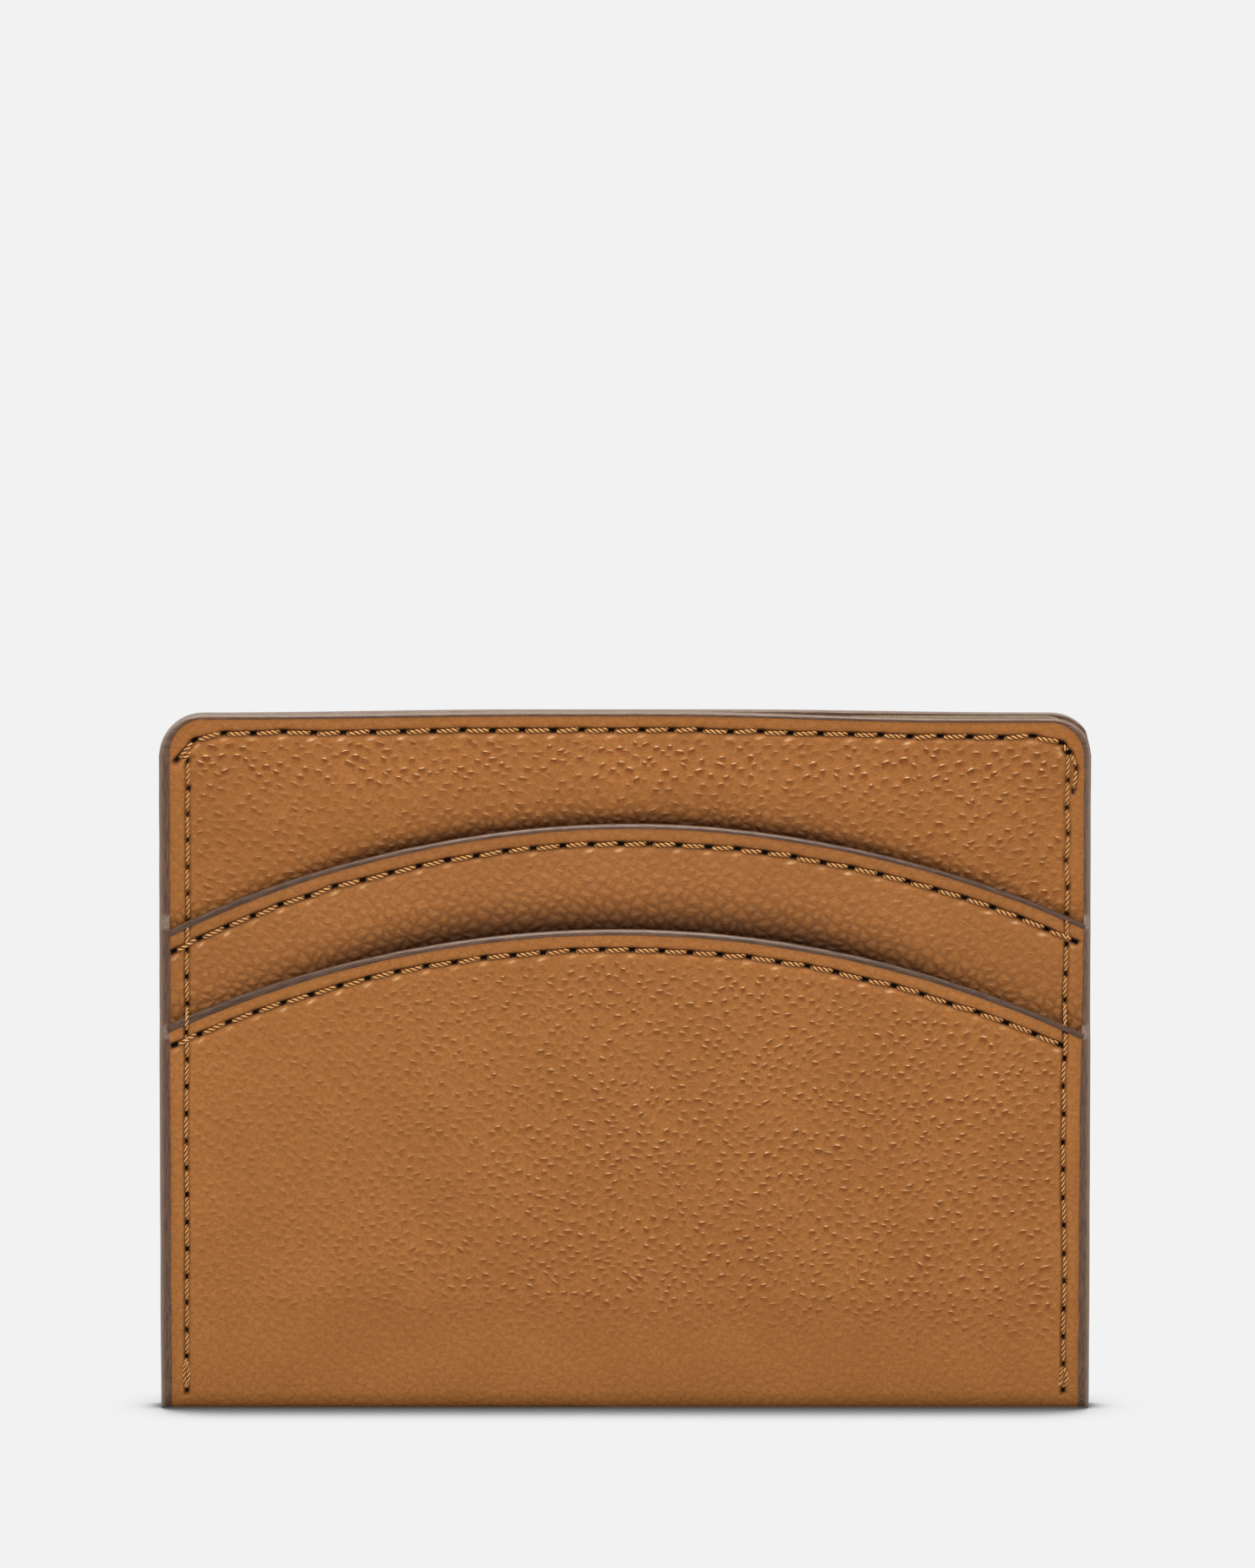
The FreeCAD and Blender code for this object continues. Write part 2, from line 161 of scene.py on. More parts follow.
def mouth_holes(edge, left, right, seed):
    """A seam that follows a mouth's edge from left to right."""
    apex, radius, middle = edge
    seam_radius = radius - MOUTH_SEAM_INSET + MOUTH_PAINT
    start, end = math.asin((left - middle) / seam_radius), math.asin((right - middle) / seam_radius)
    count = round((end - start) * seam_radius / SEAM_PITCH)
    angles = np.linspace(start, end, count + 1)
    centre = apex - radius
    row = np.stack([middle + seam_radius * np.sin(angles), centre + seam_radius * np.cos(angles)], axis=1)
    return jitter(row, seed)


def side_holes(side, low, top, seed):
    """A side seam, with a longer doubled stitch at its lower end."""
    first = low + 3.9 if side < 0 else low + 2.9
    count = round((top - first) / SIDE_PITCH)
    zs = np.concatenate([[low], np.linspace(first, top, count + 1)])
    out = 47.95 - 0.35 * zs / HEIGHT if side < 0 else 48.05 - 0.22 * smoothstep(5.0, 35.0, zs)
    return jitter(np.stack([side * out, zs], axis=1), seed, 0.045)


TOP_HOLES = top_holes()
UPPER_HOLES = mouth_holes(UPPER_EDGE, -49.2, 48.6, 5)
LOWER_HOLES = mouth_holes(LOWER_EDGE, -49.2, 47.4, 6)
LEFT_HOLES = side_holes(-1, 2.0, 72.0, 7)
RIGHT_HOLES = side_holes(1, 2.1, 73.2, 8)
CORNER_LOOP = np.array([(48.1, 73.3), (48.75, 71.5), (48.4, 68.9)])    # doubled, at the right top corner
LEFT_TURN = ((-46.9, 73.3), (-48.5, 71.8))                              # the same at the left, one stitch


SEAM_REACH = 2.5              # a seam shapes the leather no further than this from its holes
FAR = 1e9


def seam_field(x, z, holes, width, depth, shade, puckered, size):
    """Groove pulled by a seam with pits at its needle holes, and its painted shade: dark in the holes and
    along the groove's lips, negative for a painted highlight on the puckers.
    """
    x, z = np.asarray(x, float), np.asarray(z, float)
    groove, dark = np.zeros(x.shape), np.zeros(x.shape)
    low, high = holes.min(0) - SEAM_REACH, holes.max(0) + SEAM_REACH
    near = (x > low[0]) & (x < high[0]) & (z > low[1]) & (z < high[1])
    if not near.any():
        return groove, dark
    px, pz = x[near], z[near]
    best, offset = np.full(len(px), FAR), np.zeros(len(px))
    for a, b in zip(holes, holes[1:]):
        run = b - a
        length = np.hypot(*run)
        t = np.clip(((px - a[0]) * run[0] + (pz - a[1]) * run[1]) / length ** 2, 0.0, 1.0)
        ex, ez = px - a[0] - t * run[0], pz - a[1] - t * run[1]
        away = np.hypot(ex, ez)
        across = (-run[1] * ex + run[0] * ez) / length
        offset = np.where(away < best, across, offset)
        best = np.minimum(best, away)
    along = np.gradient(holes, axis=0)
    along /= np.linalg.norm(along, axis=1, keepdims=True)
    pit, reach, pucker = np.full(len(px), FAR), np.full(len(px), FAR), np.zeros(len(px))
    strengths = puckered * np.random.default_rng(len(holes)).uniform(0.0, 1.0, len(holes)) ** 0.8
    for h, u, strength in zip(holes, along, strengths):
        dx, dz = px - h[0], pz - h[1]
        lengthways = dx * u[0] + dz * u[1]
        sideways = -dx * u[1] + dz * u[0]
        flare = 0.20 + 0.22 * np.abs(lengthways) / 0.4
        pit = np.minimum(pit, np.hypot(lengthways / 0.52, sideways / flare) / size)
        reach = np.minimum(reach, np.hypot(dx, dz))
        fold = bell(lengthways + 0.3 * strength, 0.34) * bell(sideways + 0.66 - 0.2 * lengthways, 0.12)
        pucker = np.maximum(pucker, strength * fold)
    pull = 0.75 + 0.45 * bell(reach, 0.9)
    groove[near] = depth * pull * bell(best, width) + 0.42 * bell(pit, 0.95) - 0.08 * pucker
    # Painted shade along the groove's lips (rim) and in the needle holes (shadow); a negative value is a
    # painted highlight on the puckers
    rim = shade * np.maximum(bell(offset - 0.26, 0.12), 0.55 * bell(offset + 0.27, 0.09)) * (best < 0.6)
    shadow = np.maximum(fade(0.78, 1.12, pit), rim)
    dark[near] = np.where(shadow > 0.04, shadow, -pucker)
    return groove, dark


def seams_at(x, z, seams):
    """The deepest groove and the strongest painted shade (or, where negative, painted highlight) of
    several seams.
    """
    groove, mark = np.zeros(np.shape(x)), np.zeros(np.shape(x))
    for holes, kind in seams:
        pulled, shade = seam_field(x, z, holes, **kind)
        groove = np.maximum(groove, pulled)
        mark = np.where(np.abs(shade) > np.abs(mark), shade, mark)
    return groove, mark


# A seam's groove, how dark the painted shade on its lips is, how the leather puckers under it and how
# large its pits are
SEAM = {"width": 0.46, "depth": 0.20, "shade": 0.90, "puckered": 1.0, "size": 1.0}
SIDE_SEAM = {"width": 0.34, "depth": 0.20, "shade": 0.60, "puckered": 0.0, "size": 0.78}
SIDE_SEAMS = ((LEFT_HOLES, SIDE_SEAM), (RIGHT_HOLES, SIDE_SEAM))
MAIN_SEAMS = ((TOP_HOLES, SEAM), (CORNER_LOOP, SIDE_SEAM)) + SIDE_SEAMS
UPPER_SEAMS = ((UPPER_HOLES, SEAM),) + SIDE_SEAMS
WRAP_SEAMS = ((LOWER_HOLES, SEAM),) + SIDE_SEAMS


# Faces of the layers, as depths over the XZ plane ---------------------------------------------
BULGE = 0.62                  # how far a layer swells out over a mouth
BULGE_RISE = 1.5              # the height in which it gets there
WAVE, WAVE_CELL = 0.035, 14.0


def swollen(base, edge, next_seam, x, z, seed):
    """A layer swells out of a slot's mouth and comes back to the stack before the next seam."""
    over = over_arc(edge, x, z)
    room = np.maximum(next_seam - arc_z(edge, x), 1.0)
    rise = 1.0 - np.exp(-np.maximum(over, 0.0) / BULGE_RISE)
    fall = fade(0.35, 1.0, over / room)
    side = fade(30.0, 47.0, np.abs(x))
    wave = WAVE * noise(x, z, WAVE_CELL, seed) * smoothstep(-1.0, 2.0, over)
    return base + BULGE * rise * fall * side + wave


def main_smooth(x, z, seed):
    """Depth of a main panel's outer face without its seams."""
    return swollen(MAIN_D[1], UPPER_EDGE, TOP_SEAM_Z, x, z, seed)


def upper_smooth(x, z, seed):
    """Depth of an upper pocket's outer face without its seams; its mouth gapes a little."""
    flat = swollen(UPPER_D[1], LOWER_EDGE, arc_z(UPPER_EDGE, x) - 2.0, x, z, seed + 1)
    near_mouth = bell(over_arc(UPPER_EDGE, x, z), 5.0)
    gape = 0.10 * near_mouth * fade(20.0, 44.0, np.abs(x))
    return flat + gape


def wrap_pillow(x, z, seed):
    """How far the outer wrap swells past the flat stack."""
    across = fade(24.0, 47.5, np.abs(x))
    up = smoothstep(3.0, 22.0, z) * fade(0.72, 1.0, z / arc_z(LOWER_EDGE, x))
    wave = 0.05 * noise(x, z, 22.0, seed + 2) + 0.02 * noise(x, z, 9.0, seed + 3)
    gape = 0.12 * bell(over_arc(LOWER_EDGE, x, z), 7.0) * fade(18.0, 44.0, np.abs(x))
    return 0.22 * across * up + wave * smoothstep(1.5, 8.0, z) + gape


def valley(over, reach, x):
    """How deep a point lies in the crease over a mouth's painted edge; the same value sets the painted
    shade in that crease.
    """
    side = 1.0 - 0.72 * smoothstep(20.0, 46.0, np.abs(x))
    reach = reach * (1.0 - 0.35 * smoothstep(16.0, 42.0, np.abs(x)))
    return bell(np.maximum(over - MOUTH_PAINT, 0.0), reach) * (over > 0) * side


def margin(inset):
    """A leather's face falls to its painted edge."""
    return 0.04 * fade(0.2, 0.8, inset)


def corner_inset(x, z):
    """Distance inside the main panel's outline with its rounded corners."""
    over_x = np.abs(x) - (PANEL_HALF - PANEL_CORNER)
    over_z = z - (PANEL_TOP - PANEL_CORNER)
    round_off = np.hypot(np.maximum(over_x, 0), np.maximum(over_z, 0))
    return PANEL_CORNER - np.where((over_x > 0) & (over_z > 0), round_off, np.maximum(over_x, over_z))


def main_grain(x, z):
    """The pressed grain is sharpest along the top of the main panels and towards the right."""
    return 0.58 + 0.42 * smoothstep(67.0, 72.5, z) + 0.20 * smoothstep(20.0, 40.0, x)


def wrap_grain(x, z):
    """The wrap's grain is worn down on the left and stretched flat over the fold."""
    across = 0.42 + 0.50 * smoothstep(-42.0, 0.0, x)
    return across * smoothstep(5.5, 15.0, z + 2.5 * smoothstep(15.0, 40.0, x))


def side_fade(x):
    """The grain is pressed out under the side seams and outside them."""
    return smoothstep(0.4, 1.8, SIDE_SEAM_X - np.abs(x))


def main_face(x, z, seed):
    """(depth, grain share, painted seam shade and highlight, edge nearness, crease, which also sets
    painted shade) of a main panel's outer face.
    """
    groove, mark = seams_at(x, z, MAIN_SEAMS)
    inset = corner_inset(x, z)
    over = over_arc(UPPER_EDGE, x, z)
    shown = smoothstep(-0.3, 0.5, over)
    depth = main_smooth(x, z, seed) - (groove + margin(inset)) * shown
    grain = 0.08 + 0.95 * smoothstep(0.5, 1.6, TOP_SEAM_Z - z) * side_fade(x) * main_grain(x, z)
    return depth, grain, mark * shown, fade(0.2, 1.0, inset), 0.88 * valley(over, 1.24, x)


def upper_face(x, z, seed):
    """The same of an upper pocket's outer face."""
    groove, mark = seams_at(x, z, UPPER_SEAMS)
    below = -over_arc(UPPER_EDGE, x, z)
    over = over_arc(LOWER_EDGE, x, z)
    inset = np.minimum(PANEL_HALF - np.abs(x), below)
    shown = smoothstep(-0.3, 0.5, over)
    depth = upper_smooth(x, z, seed) - (groove + margin(inset)) * shown
    grain = 0.12 + 0.75 * smoothstep(0.6, 2.0, below - MOUTH_SEAM_INSET + MOUTH_PAINT) * side_fade(x)
    return depth, grain, mark * shown, fade(0.2, 1.0, inset), valley(over, 2.28, x)


def wrap_relief(x, z, seed):
    """(how far the wrap's face stands past its profile, grain share, painted seam shade and highlight,
    edge nearness).
    """
    groove, mark = seams_at(x, z, WRAP_SEAMS)
    below = -over_arc(LOWER_EDGE, x, z)
    inset = np.minimum(PANEL_HALF - np.abs(x), below)
    relief = wrap_pillow(x, z, seed) - groove - margin(inset)
    mouth_margin = smoothstep(0.6, 2.0, below - MOUTH_SEAM_INSET + MOUTH_PAINT)
    grain = 0.06 + 0.94 * mouth_margin * side_fade(x) * wrap_grain(x, z)
    return relief, grain, mark, fade(0.2, 1.0, inset)


def fold_profile():
    """Half of the wrap's outer profile, from its side down to the middle of its base: (depth, z)."""
    side = np.linspace((WRAP_D[1], 20.0), (WRAP_D[1], TAPER_TOP), 40)
    taper = np.linspace((WRAP_D[1], TAPER_TOP), (FOLD_HALF_DEPTH, FOLD_TOP), 60)[1:]
    angles = np.linspace(0.0, math.pi / 2, 40)[1:, None]
    turn = (BASE_HALF_DEPTH, FOLD_TOP) + np.hstack([
        (FOLD_HALF_DEPTH - BASE_HALF_DEPTH) * np.cos(angles), -FOLD_TOP * np.sin(angles)
    ])
    base = np.linspace((BASE_HALF_DEPTH, 0.0), (0.0, 0.0), 14)[1:]
    return np.concatenate([side, taper, turn, base])


def along_path(points):
    """Distance of each point from the first along a path."""
    steps = np.linalg.norm(np.diff(points, axis=0), axis=1)
    return np.concatenate([[0.0], np.cumsum(steps)])


def even(points, count):
    """A path's points, evenly spaced."""
    at = along_path(points)
    want = np.linspace(0.0, at[-1], count)
    return np.stack([np.interp(want, at, points[:, k]) for k in range(points.shape[1])], axis=1)


PROFILE_POINTS = 900


def softened_profile(reach=0.5):
    """The whole fold from the front side to the rear side, with its corners rounded: (y, z)."""
    half = fold_profile()
    path = even(np.concatenate([half * (-1, 1), half[-2::-1]]), PROFILE_POINTS)
    step = along_path(path)[-1] / (PROFILE_POINTS - 1)
    width = max(int(reach / step), 1)
    kernel = np.hanning(2 * width + 1)
    kernel /= kernel.sum()
    padded = np.pad(path, ((width, width), (0, 0)), mode="reflect", reflect_type="odd")
    soft = np.stack([np.convolve(padded[:, k], kernel, mode="valid") for k in range(2)], axis=1)
    soft[:, 1] -= soft[:, 1].min()
    return soft


PROFILE = softened_profile()
PROFILE_AT = along_path(PROFILE)
PROFILE_TOP = 18.0            # the mesh leaves the profile here and runs straight up
FOLD_SPACING = 0.24           # of the mesh round the fold


def profile_point(at):
    """Point and outward normal of the fold's profile, a way along it from the front: (y, z)."""
    def point(way):
        return np.array([np.interp(way, PROFILE_AT, PROFILE[:, k]) for k in range(2)])

    ahead = 0.15
    (y, z), (dy, dz) = point(at), point(at + ahead) - point(at - ahead)
    length = np.maximum(np.hypot(dy, dz), 1e-9)
    return y, z, dz / length, -dy / length


def front_half_depth(z):
    """Half depth of the wrap's profile at a height."""
    half = PROFILE[: len(PROFILE) // 2]
    order = np.argsort(half[:, 1])
    depth = np.interp(z, half[order, 1], -half[order, 0])
    return np.where(z > PROFILE_TOP, WRAP_D[1], depth)


def wrap_smooth(x, z, seed):
    """Depth of the wrap's outer face without its seams."""
    return front_half_depth(z) + wrap_pillow(x, z, seed)


# Meshes ---------------------------------------------------------------------------------------
def link(name, data):
    thing = bpy.data.objects.new(name, data)
    bpy.context.scene.collection.objects.link(thing)
    return thing


class Build:
    """Collects the vertices and faces of one piece."""

    def __init__(self):
        self.points, self.quads, self.tris, self.values = [], [], [], {}
        self.count = 0

    def add_points(self, points, **values):
        """Points with values of their own; a value that isn't given is zero."""
        points = np.asarray(points, float).reshape(-1, 3)
        start = self.count
        self.points.append(points)
        self.count += len(points)
        for key, value in values.items():
            chunk = np.asarray(value, float).reshape(len(points), -1)
            self.values.setdefault(key, []).append((start, chunk))
        return start

    def grid(self, start, rows, columns, flip, wrap=False):
        """Faces over a grid of points; with wrap its last column joins its first."""
        steps = columns if wrap else columns - 1
        i, j = np.meshgrid(np.arange(rows - 1), np.arange(steps), indexing="ij")
        a, b = start + i * columns + j, start + i * columns + (j + 1) % columns
        faces = np.stack([a, b, b + columns, a + columns], axis=-1).reshape(-1, 4)
        self.quads.append(faces[:, ::-1] if flip else faces)

    def zip_rims(self, a, b, pa, pb, flip):
        """Triangles between two edges of different meshes that run side by side."""
        la, lb = along_path(pa), along_path(pb)
        la, lb = la / la[-1], lb / lb[-1]
        i = j = 0
        faces = []
        while i < len(a) - 1 or j < len(b) - 1:
            if j == len(b) - 1 or (i < len(a) - 1 and la[i + 1] <= lb[j + 1]):
                faces.append((a[i + 1], a[i], b[j]))
                i += 1
            else:
                faces.append((a[i], b[j], b[j + 1]))
                j += 1
        faces = np.array(faces)
        self.tris.append(faces[:, ::-1] if flip else faces)

    def make(self, name, material, smooth_angle=50.0):
        points = np.concatenate(self.points) * MM
        quads = np.concatenate(self.quads)
        tris = np.concatenate(self.tris)
        loops = np.concatenate([quads.ravel(), tris.ravel()])
        starts = np.concatenate([np.arange(len(quads)) * 4, len(quads) * 4 + np.arange(len(tris)) * 3])
        mesh = bpy.data.meshes.new(name)
        mesh.vertices.add(len(points))
        mesh.vertices.foreach_set("co", points.astype(np.float32).ravel())
        mesh.loops.add(len(loops))
        mesh.loops.foreach_set("vertex_index", loops.astype(np.int32))
        mesh.polygons.add(len(starts))
        mesh.polygons.foreach_set("loop_start", starts.astype(np.int32))
        mesh.polygons.foreach_set("use_smooth", np.ones(len(starts), bool))
        mesh.update(calc_edges=True)
        for key, chunks in self.values.items():
            width = chunks[0][1].shape[1]
            data = np.zeros((self.count, width), np.float32)
            for start, chunk in chunks:
                data[start:start + len(chunk)] = chunk
            kind, field = ("FLOAT_VECTOR", "vector") if width == 3 else ("FLOAT", "value")
            mesh.attributes.new(key, kind, "POINT").data.foreach_set(field, data.ravel())
        mesh.validate()
        mesh.set_sharp_from_angle(angle=math.radians(smooth_angle))
        mesh.materials.append(material)
        return link(name, mesh)


def finish_piece(piece, nodes):
    """Every piece rides on the case's one body."""
    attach(piece, "root")
    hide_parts(*nodes)
    return piece


def rims(start, rows, columns):
    """The four edges of a grid of points, one after the other round it."""
    grid = start + np.arange(rows * columns).reshape(rows, columns)
    return grid[0], grid[:, -1], grid[-1, ::-1], grid[::-1, 0]


def shell(build, outer, inner, flip, **values):
    """A closed sheet between a fine outer grid and a coarser inner grid, each (rows, columns, 3)."""
    a = build.add_points(outer, **values)
    b = build.add_points(inner)
    build.grid(a, *outer.shape[:2], flip)
    build.grid(b, *inner.shape[:2], not flip)
    flat_outer, flat_inner = outer.reshape(-1, 3), inner.reshape(-1, 3)
    for ra, rb in zip(rims(a, *outer.shape[:2]), rims(b, *inner.shape[:2])):
        build.zip_rims(ra, rb, flat_outer[ra - a], flat_inner[rb - b], flip)


def spread(low, high, spacing, fine_at=(), fine=0.13, reach=0.8):
    """Stations from low to high, closer together near some of them."""
    fine_grid = np.linspace(low, high, 4001)
    density = np.full(len(fine_grid), 1.0 / spacing)
    for f in fine_at:
        near = fade(reach, reach * 1.8, np.abs(fine_grid - f))
        density = np.maximum(density, (1.0 / fine) * near)
    total = np.concatenate([[0.0], np.cumsum((density[1:] + density[:-1]) / 2 * np.diff(fine_grid))])
    count = max(int(round(total[-1])), 1)
    return np.interp(np.linspace(0.0, total[-1], count + 1), total, fine_grid)


def columns(spacing, corner=False):
    """X stations across a panel, bunched towards rounded corners where it has them."""
    if not corner:
        return spread(-PANEL_HALF, PANEL_HALF, spacing, (-SIDE_SEAM_X, SIDE_SEAM_X))
    inner = PANEL_HALF - PANEL_CORNER
    angles = np.linspace(0.0, math.pi / 2, max(int(PANEL_CORNER * math.pi / 2 / spacing), 4) + 1)
    arc = inner + PANEL_CORNER * np.sin(angles)
    middle = spread(-inner, inner, spacing)
    return np.concatenate([-arc[::-1], middle[1:-1], arc])


def outline_top(x):
    """Height of the main panel's outline with its rounded corners."""
    over = np.clip(np.abs(x) - (PANEL_HALF - PANEL_CORNER), 0.0, PANEL_CORNER)
    return PANEL_TOP - PANEL_CORNER + np.sqrt(np.maximum(PANEL_CORNER ** 2 - over ** 2, 0.0))


def stack_rows(lines, counts):
    """Rows of z values between lines given for each column."""
    rows = [lines[0]]
    for low, high, count in zip(lines, lines[1:], counts):
        for k in range(1, count + 1):
            rows.append(low + (high - low) * k / count)
    return np.array(rows)


def level(xs, z):
    return np.full(len(xs), z)


def place(x, z, depth, sign):
    """Points of the front or rear half at a depth, moved with the case's uneven outline."""
    return np.stack([x + drift(x, z), sign * depth, z + sag(x, z, sign)], axis=-1)


# Leather pieces -------------------------------------------------------------------------------
def flat_leather(node, title, sign, seed, material, face, smooth, fine, coarse):
    """A flat leather sheet with a fine outer face and a coarse hidden one, each (x stations, z rows)."""
    (xs, z), (hidden_xs, hidden_z) = fine, coarse
    x, hidden_x = np.broadcast_to(xs, z.shape), np.broadcast_to(hidden_xs, hidden_z.shape)
    depth, grain, mark, edge, crease = face(x, z, seed)
    outer = place(x, z, depth, sign)
    inner = place(hidden_x, hidden_z, smooth(hidden_x, hidden_z, seed) - LEATHER_THICK, sign)
    build = Build()
    cut = np.stack([x, z, np.zeros_like(x)], axis=-1)
    shell(build, outer, inner, sign > 0, cut=cut, grain=grain, mark=mark, edge=edge, crease=crease)
    return finish_piece(build.make(title, material), [node])


def main_panel(name, sign, seed, material, spacing):
    """A full-height wall of the centre pocket."""
    xs, hidden_xs = columns(spacing, corner=True), columns(COARSE, corner=True)
    top = outline_top(xs)
    low, high = TOP_BAND
    lines = [level(xs, INNER_BOTTOM), arc_z(UPPER_EDGE, xs) - HIDDEN, top - low, top - high, top]
    fine = xs, stack_rows(lines, [14, int(16.0 / spacing), int((low - high) / FINE), 6])
    under, top = arc_z(UPPER_EDGE, hidden_xs) - HIDDEN, outline_top(hidden_xs)
    coarse = hidden_xs, stack_rows([level(hidden_xs, INNER_BOTTOM), under, top], [10, 14])
    piece = flat_leather(f"{name}_main_panel", f"{name}_main_leather", sign, seed, material,
                         main_face, main_smooth, fine, coarse)


def upper_pocket(name, sign, seed, material, spacing):
    """The middle band, which runs on down behind the wrap to the floor of its slot."""
    xs, hidden_xs = columns(spacing), columns(COARSE)
    top = arc_z(UPPER_EDGE, xs)
    low, high = MOUTH_BAND
    lines = [level(xs, UPPER_SLOT_BOTTOM), arc_z(LOWER_EDGE, xs) - HIDDEN, top - low, top - high, top]
    fine = xs, stack_rows(lines, [12, int(10.0 / (0.85 * spacing)), int((low - high) / FINE), 4])
    low, high = UPPER_SLOT_BOTTOM, UPPER_EDGE[0]
    lines = [level(hidden_xs, low), arc_z(LOWER_EDGE, hidden_xs) - HIDDEN, arc_z(UPPER_EDGE, hidden_xs)]
    coarse = hidden_xs, stack_rows(lines, [10, 12])
    piece = flat_leather(f"{name}_upper_pocket", f"{name}_upper_leather", sign, seed, material,
                         upper_face, upper_smooth, fine, coarse)


def wrap_back(xs):
    """The wrap's hidden face, a coarse copy of its outer one."""
    heights = [14.0, 8.0, 4.0, 2.4, 1.5]
    top = arc_z(LOWER_EDGE, xs)
    rows = [top * (1 - t) + heights[0] * t for t in np.linspace(0, 1, 14)]
    z = np.array(rows + [level(xs, h) for h in heights[1:]])
    x = np.broadcast_to(xs, z.shape)
    front = place(x, z, wrap_smooth(x, z, FRONT_SEED) - LEATHER_THICK, -1)
    rear = place(x, z, wrap_smooth(x, z, REAR_SEED) - LEATHER_THICK, 1)[::-1]
    base = INNER_BOTTOM - 0.3
    bend = [(0.9, base, -1), (0.0, base - 0.1, -1), (0.9, base, 1)]
    fold = np.array([place(xs, level(xs, z), level(xs, depth), sign) for depth, z, sign in bend])
    return np.concatenate([front, fold, rear])


def outer_wrap(material, spacing, rear_spacing):
    """One piece from the front lower mouth round the fold to the rear lower mouth."""
    xs = columns(spacing)
    turn = np.flatnonzero(PROFILE[:, 1] < PROFILE_TOP)
    first, last = PROFILE_AT[turn[0]], PROFILE_AT[turn[-1]]
    start_z = PROFILE[turn[0], 1]
    low, high = MOUTH_BAND
    seam_rows = (low - high) / FINE
    front_rows = int((LOWER_EDGE[0] - low - start_z) / (0.92 * spacing))
    rear_rows = int((LOWER_EDGE[0] - start_z) / rear_spacing)
    top = arc_z(LOWER_EDGE, xs)
    lines = [top, top - high, top - low, level(xs, start_z)]
    front_z = stack_rows(lines, [4, int(seam_rows), front_rows])
    rear_z = stack_rows(lines[::-1], [rear_rows, int(seam_rows * 0.7), 3])

    def wall(z, sign, seed, at):
        x = np.broadcast_to(xs, z.shape)
        relief, *looks = wrap_relief(x, z, seed)
        return place(x, z, WRAP_D[1] + relief, sign), x, at, *looks

    at = np.linspace(first, last, int((last - first) / FOLD_SPACING) + 1)[1:-1]
    y, z, ny, nz = (each[:, None] for each in profile_point(at))
    ny, nz = -np.abs(ny) * np.where(y < 0, 1, -1), -np.abs(nz)
    z = np.broadcast_to(z, (len(at), len(xs)))
    x = np.broadcast_to(xs, z.shape)
    halves = zip(wrap_relief(x, z, FRONT_SEED), wrap_relief(x, z, REAR_SEED))
    relief, *looks = (np.where(y < 0, front, rear) for front, rear in halves)
    points = np.stack([x + drift(x, z), y + ny * relief, np.maximum(z + nz * relief, 0.0)], axis=-1)
    parts = zip(
        wall(front_z, -1, FRONT_SEED, first - (front_z - start_z)),
        (points, x, np.broadcast_to(at[:, None], z.shape), *looks),
        wall(rear_z, 1, REAR_SEED, last + (rear_z - start_z)),
    )
    outer, x, at, grain, mark, edge = (np.concatenate(part) for part in parts)
    cut = np.stack([x, -at + first + start_z, np.zeros_like(x)], axis=-1)

    build = Build()
    shell(build, outer, wrap_back(columns(COARSE)), True, cut=cut, grain=grain, mark=mark, edge=edge)
    piece = finish_piece(build.make("wrap_leather", material), ["outer_wrap"])


# Linings --------------------------------------------------------------------------------------
LINING_THICK = 0.14
CENTRE_SWELL = 0.4            # the centre lining follows the panels' swell no further than this
GLUE = 0.005                  # between a leather and its lining


def slot_lining(name, sign, seed, material, which):
    """The woven lining glued behind a pocket's leather."""
    if which == "upper":
        edge, low, smooth, area = UPPER_EDGE, UPPER_SLOT_BOTTOM, upper_smooth, 4.785e-3
    else:
        edge, low, smooth, area = LOWER_EDGE, FOLD_TOP, wrap_smooth, 4.62e-3
    xs = columns(COARSE)
    z = stack_rows([level(xs, low), arc_z(edge, xs) - HIDDEN, arc_z(edge, xs)], [22, 4])
    x = np.broadcast_to(xs, z.shape)
    depth = smooth(x, z, seed) - LEATHER_THICK - GLUE
    build = Build()
    shell(build, place(x, z, depth, sign), place(x, z, depth - LINING_THICK, sign), sign > 0)
    node = f"{name}_{which}_slot_lining"
    piece = finish_piece(build.make(f"{node}_cloth", material), [node])


def centre_lining(material):
    """The woven lining of the centre pocket, folded at its bottom."""
    xs = columns(COARSE, corner=True)
    bend = INNER_BOTTOM + CENTRE_LINING_D[1]
    z = stack_rows([level(xs, bend), outline_top(xs)], [30])
    x = np.broadcast_to(xs, z.shape)
    angles = np.linspace(0, math.pi, 7)[1:-1]

    def sheet(depth):
        front, rear = (
            place(x, z, np.minimum(main_smooth(x, z, seed) - MAIN_D[1], CENTRE_SWELL) + depth, sign)
            for _, sign, seed in SIDES
        )
        turn = []
        for a in angles:
            y, low = level(xs, -depth * math.cos(a)), level(xs, bend - depth * math.sin(a))
            turn.append(np.stack([xs, y, low], axis=-1))
        return np.concatenate([front[::-1], np.array(turn), rear])

    build = Build()
    shell(build, sheet(CENTRE_LINING_D[1]), sheet(CENTRE_LINING_D[0]), True)
    piece = finish_piece(build.make("centre_lining_cloth", material), ["centre_pocket_lining"])


# Painted edges --------------------------------------------------------------------------------
def sweep(build, rings, flip, **values):
    """A closed tube through rings of points (stations, ring, 3), with both ends capped."""
    stations, ring = rings.shape[:2]
    start = build.add_points(rings, **values)
    build.grid(start, stations, ring, flip, wrap=True)
    for end, turn in ((0, flip), (stations - 1, not flip)):
        centre = build.add_points(rings[end].mean(0))
        a = start + end * ring + np.arange(ring)
        tris = np.stack([np.roll(a, -1), a, np.full(ring, centre)], axis=1)
        build.tris.append(tris[:, ::-1] if turn else tris)


def finish_coat(build, node, material):
    piece = build.make(f"{node}_coat", material, smooth_angle=70.0)
    finish_piece(piece, [node])


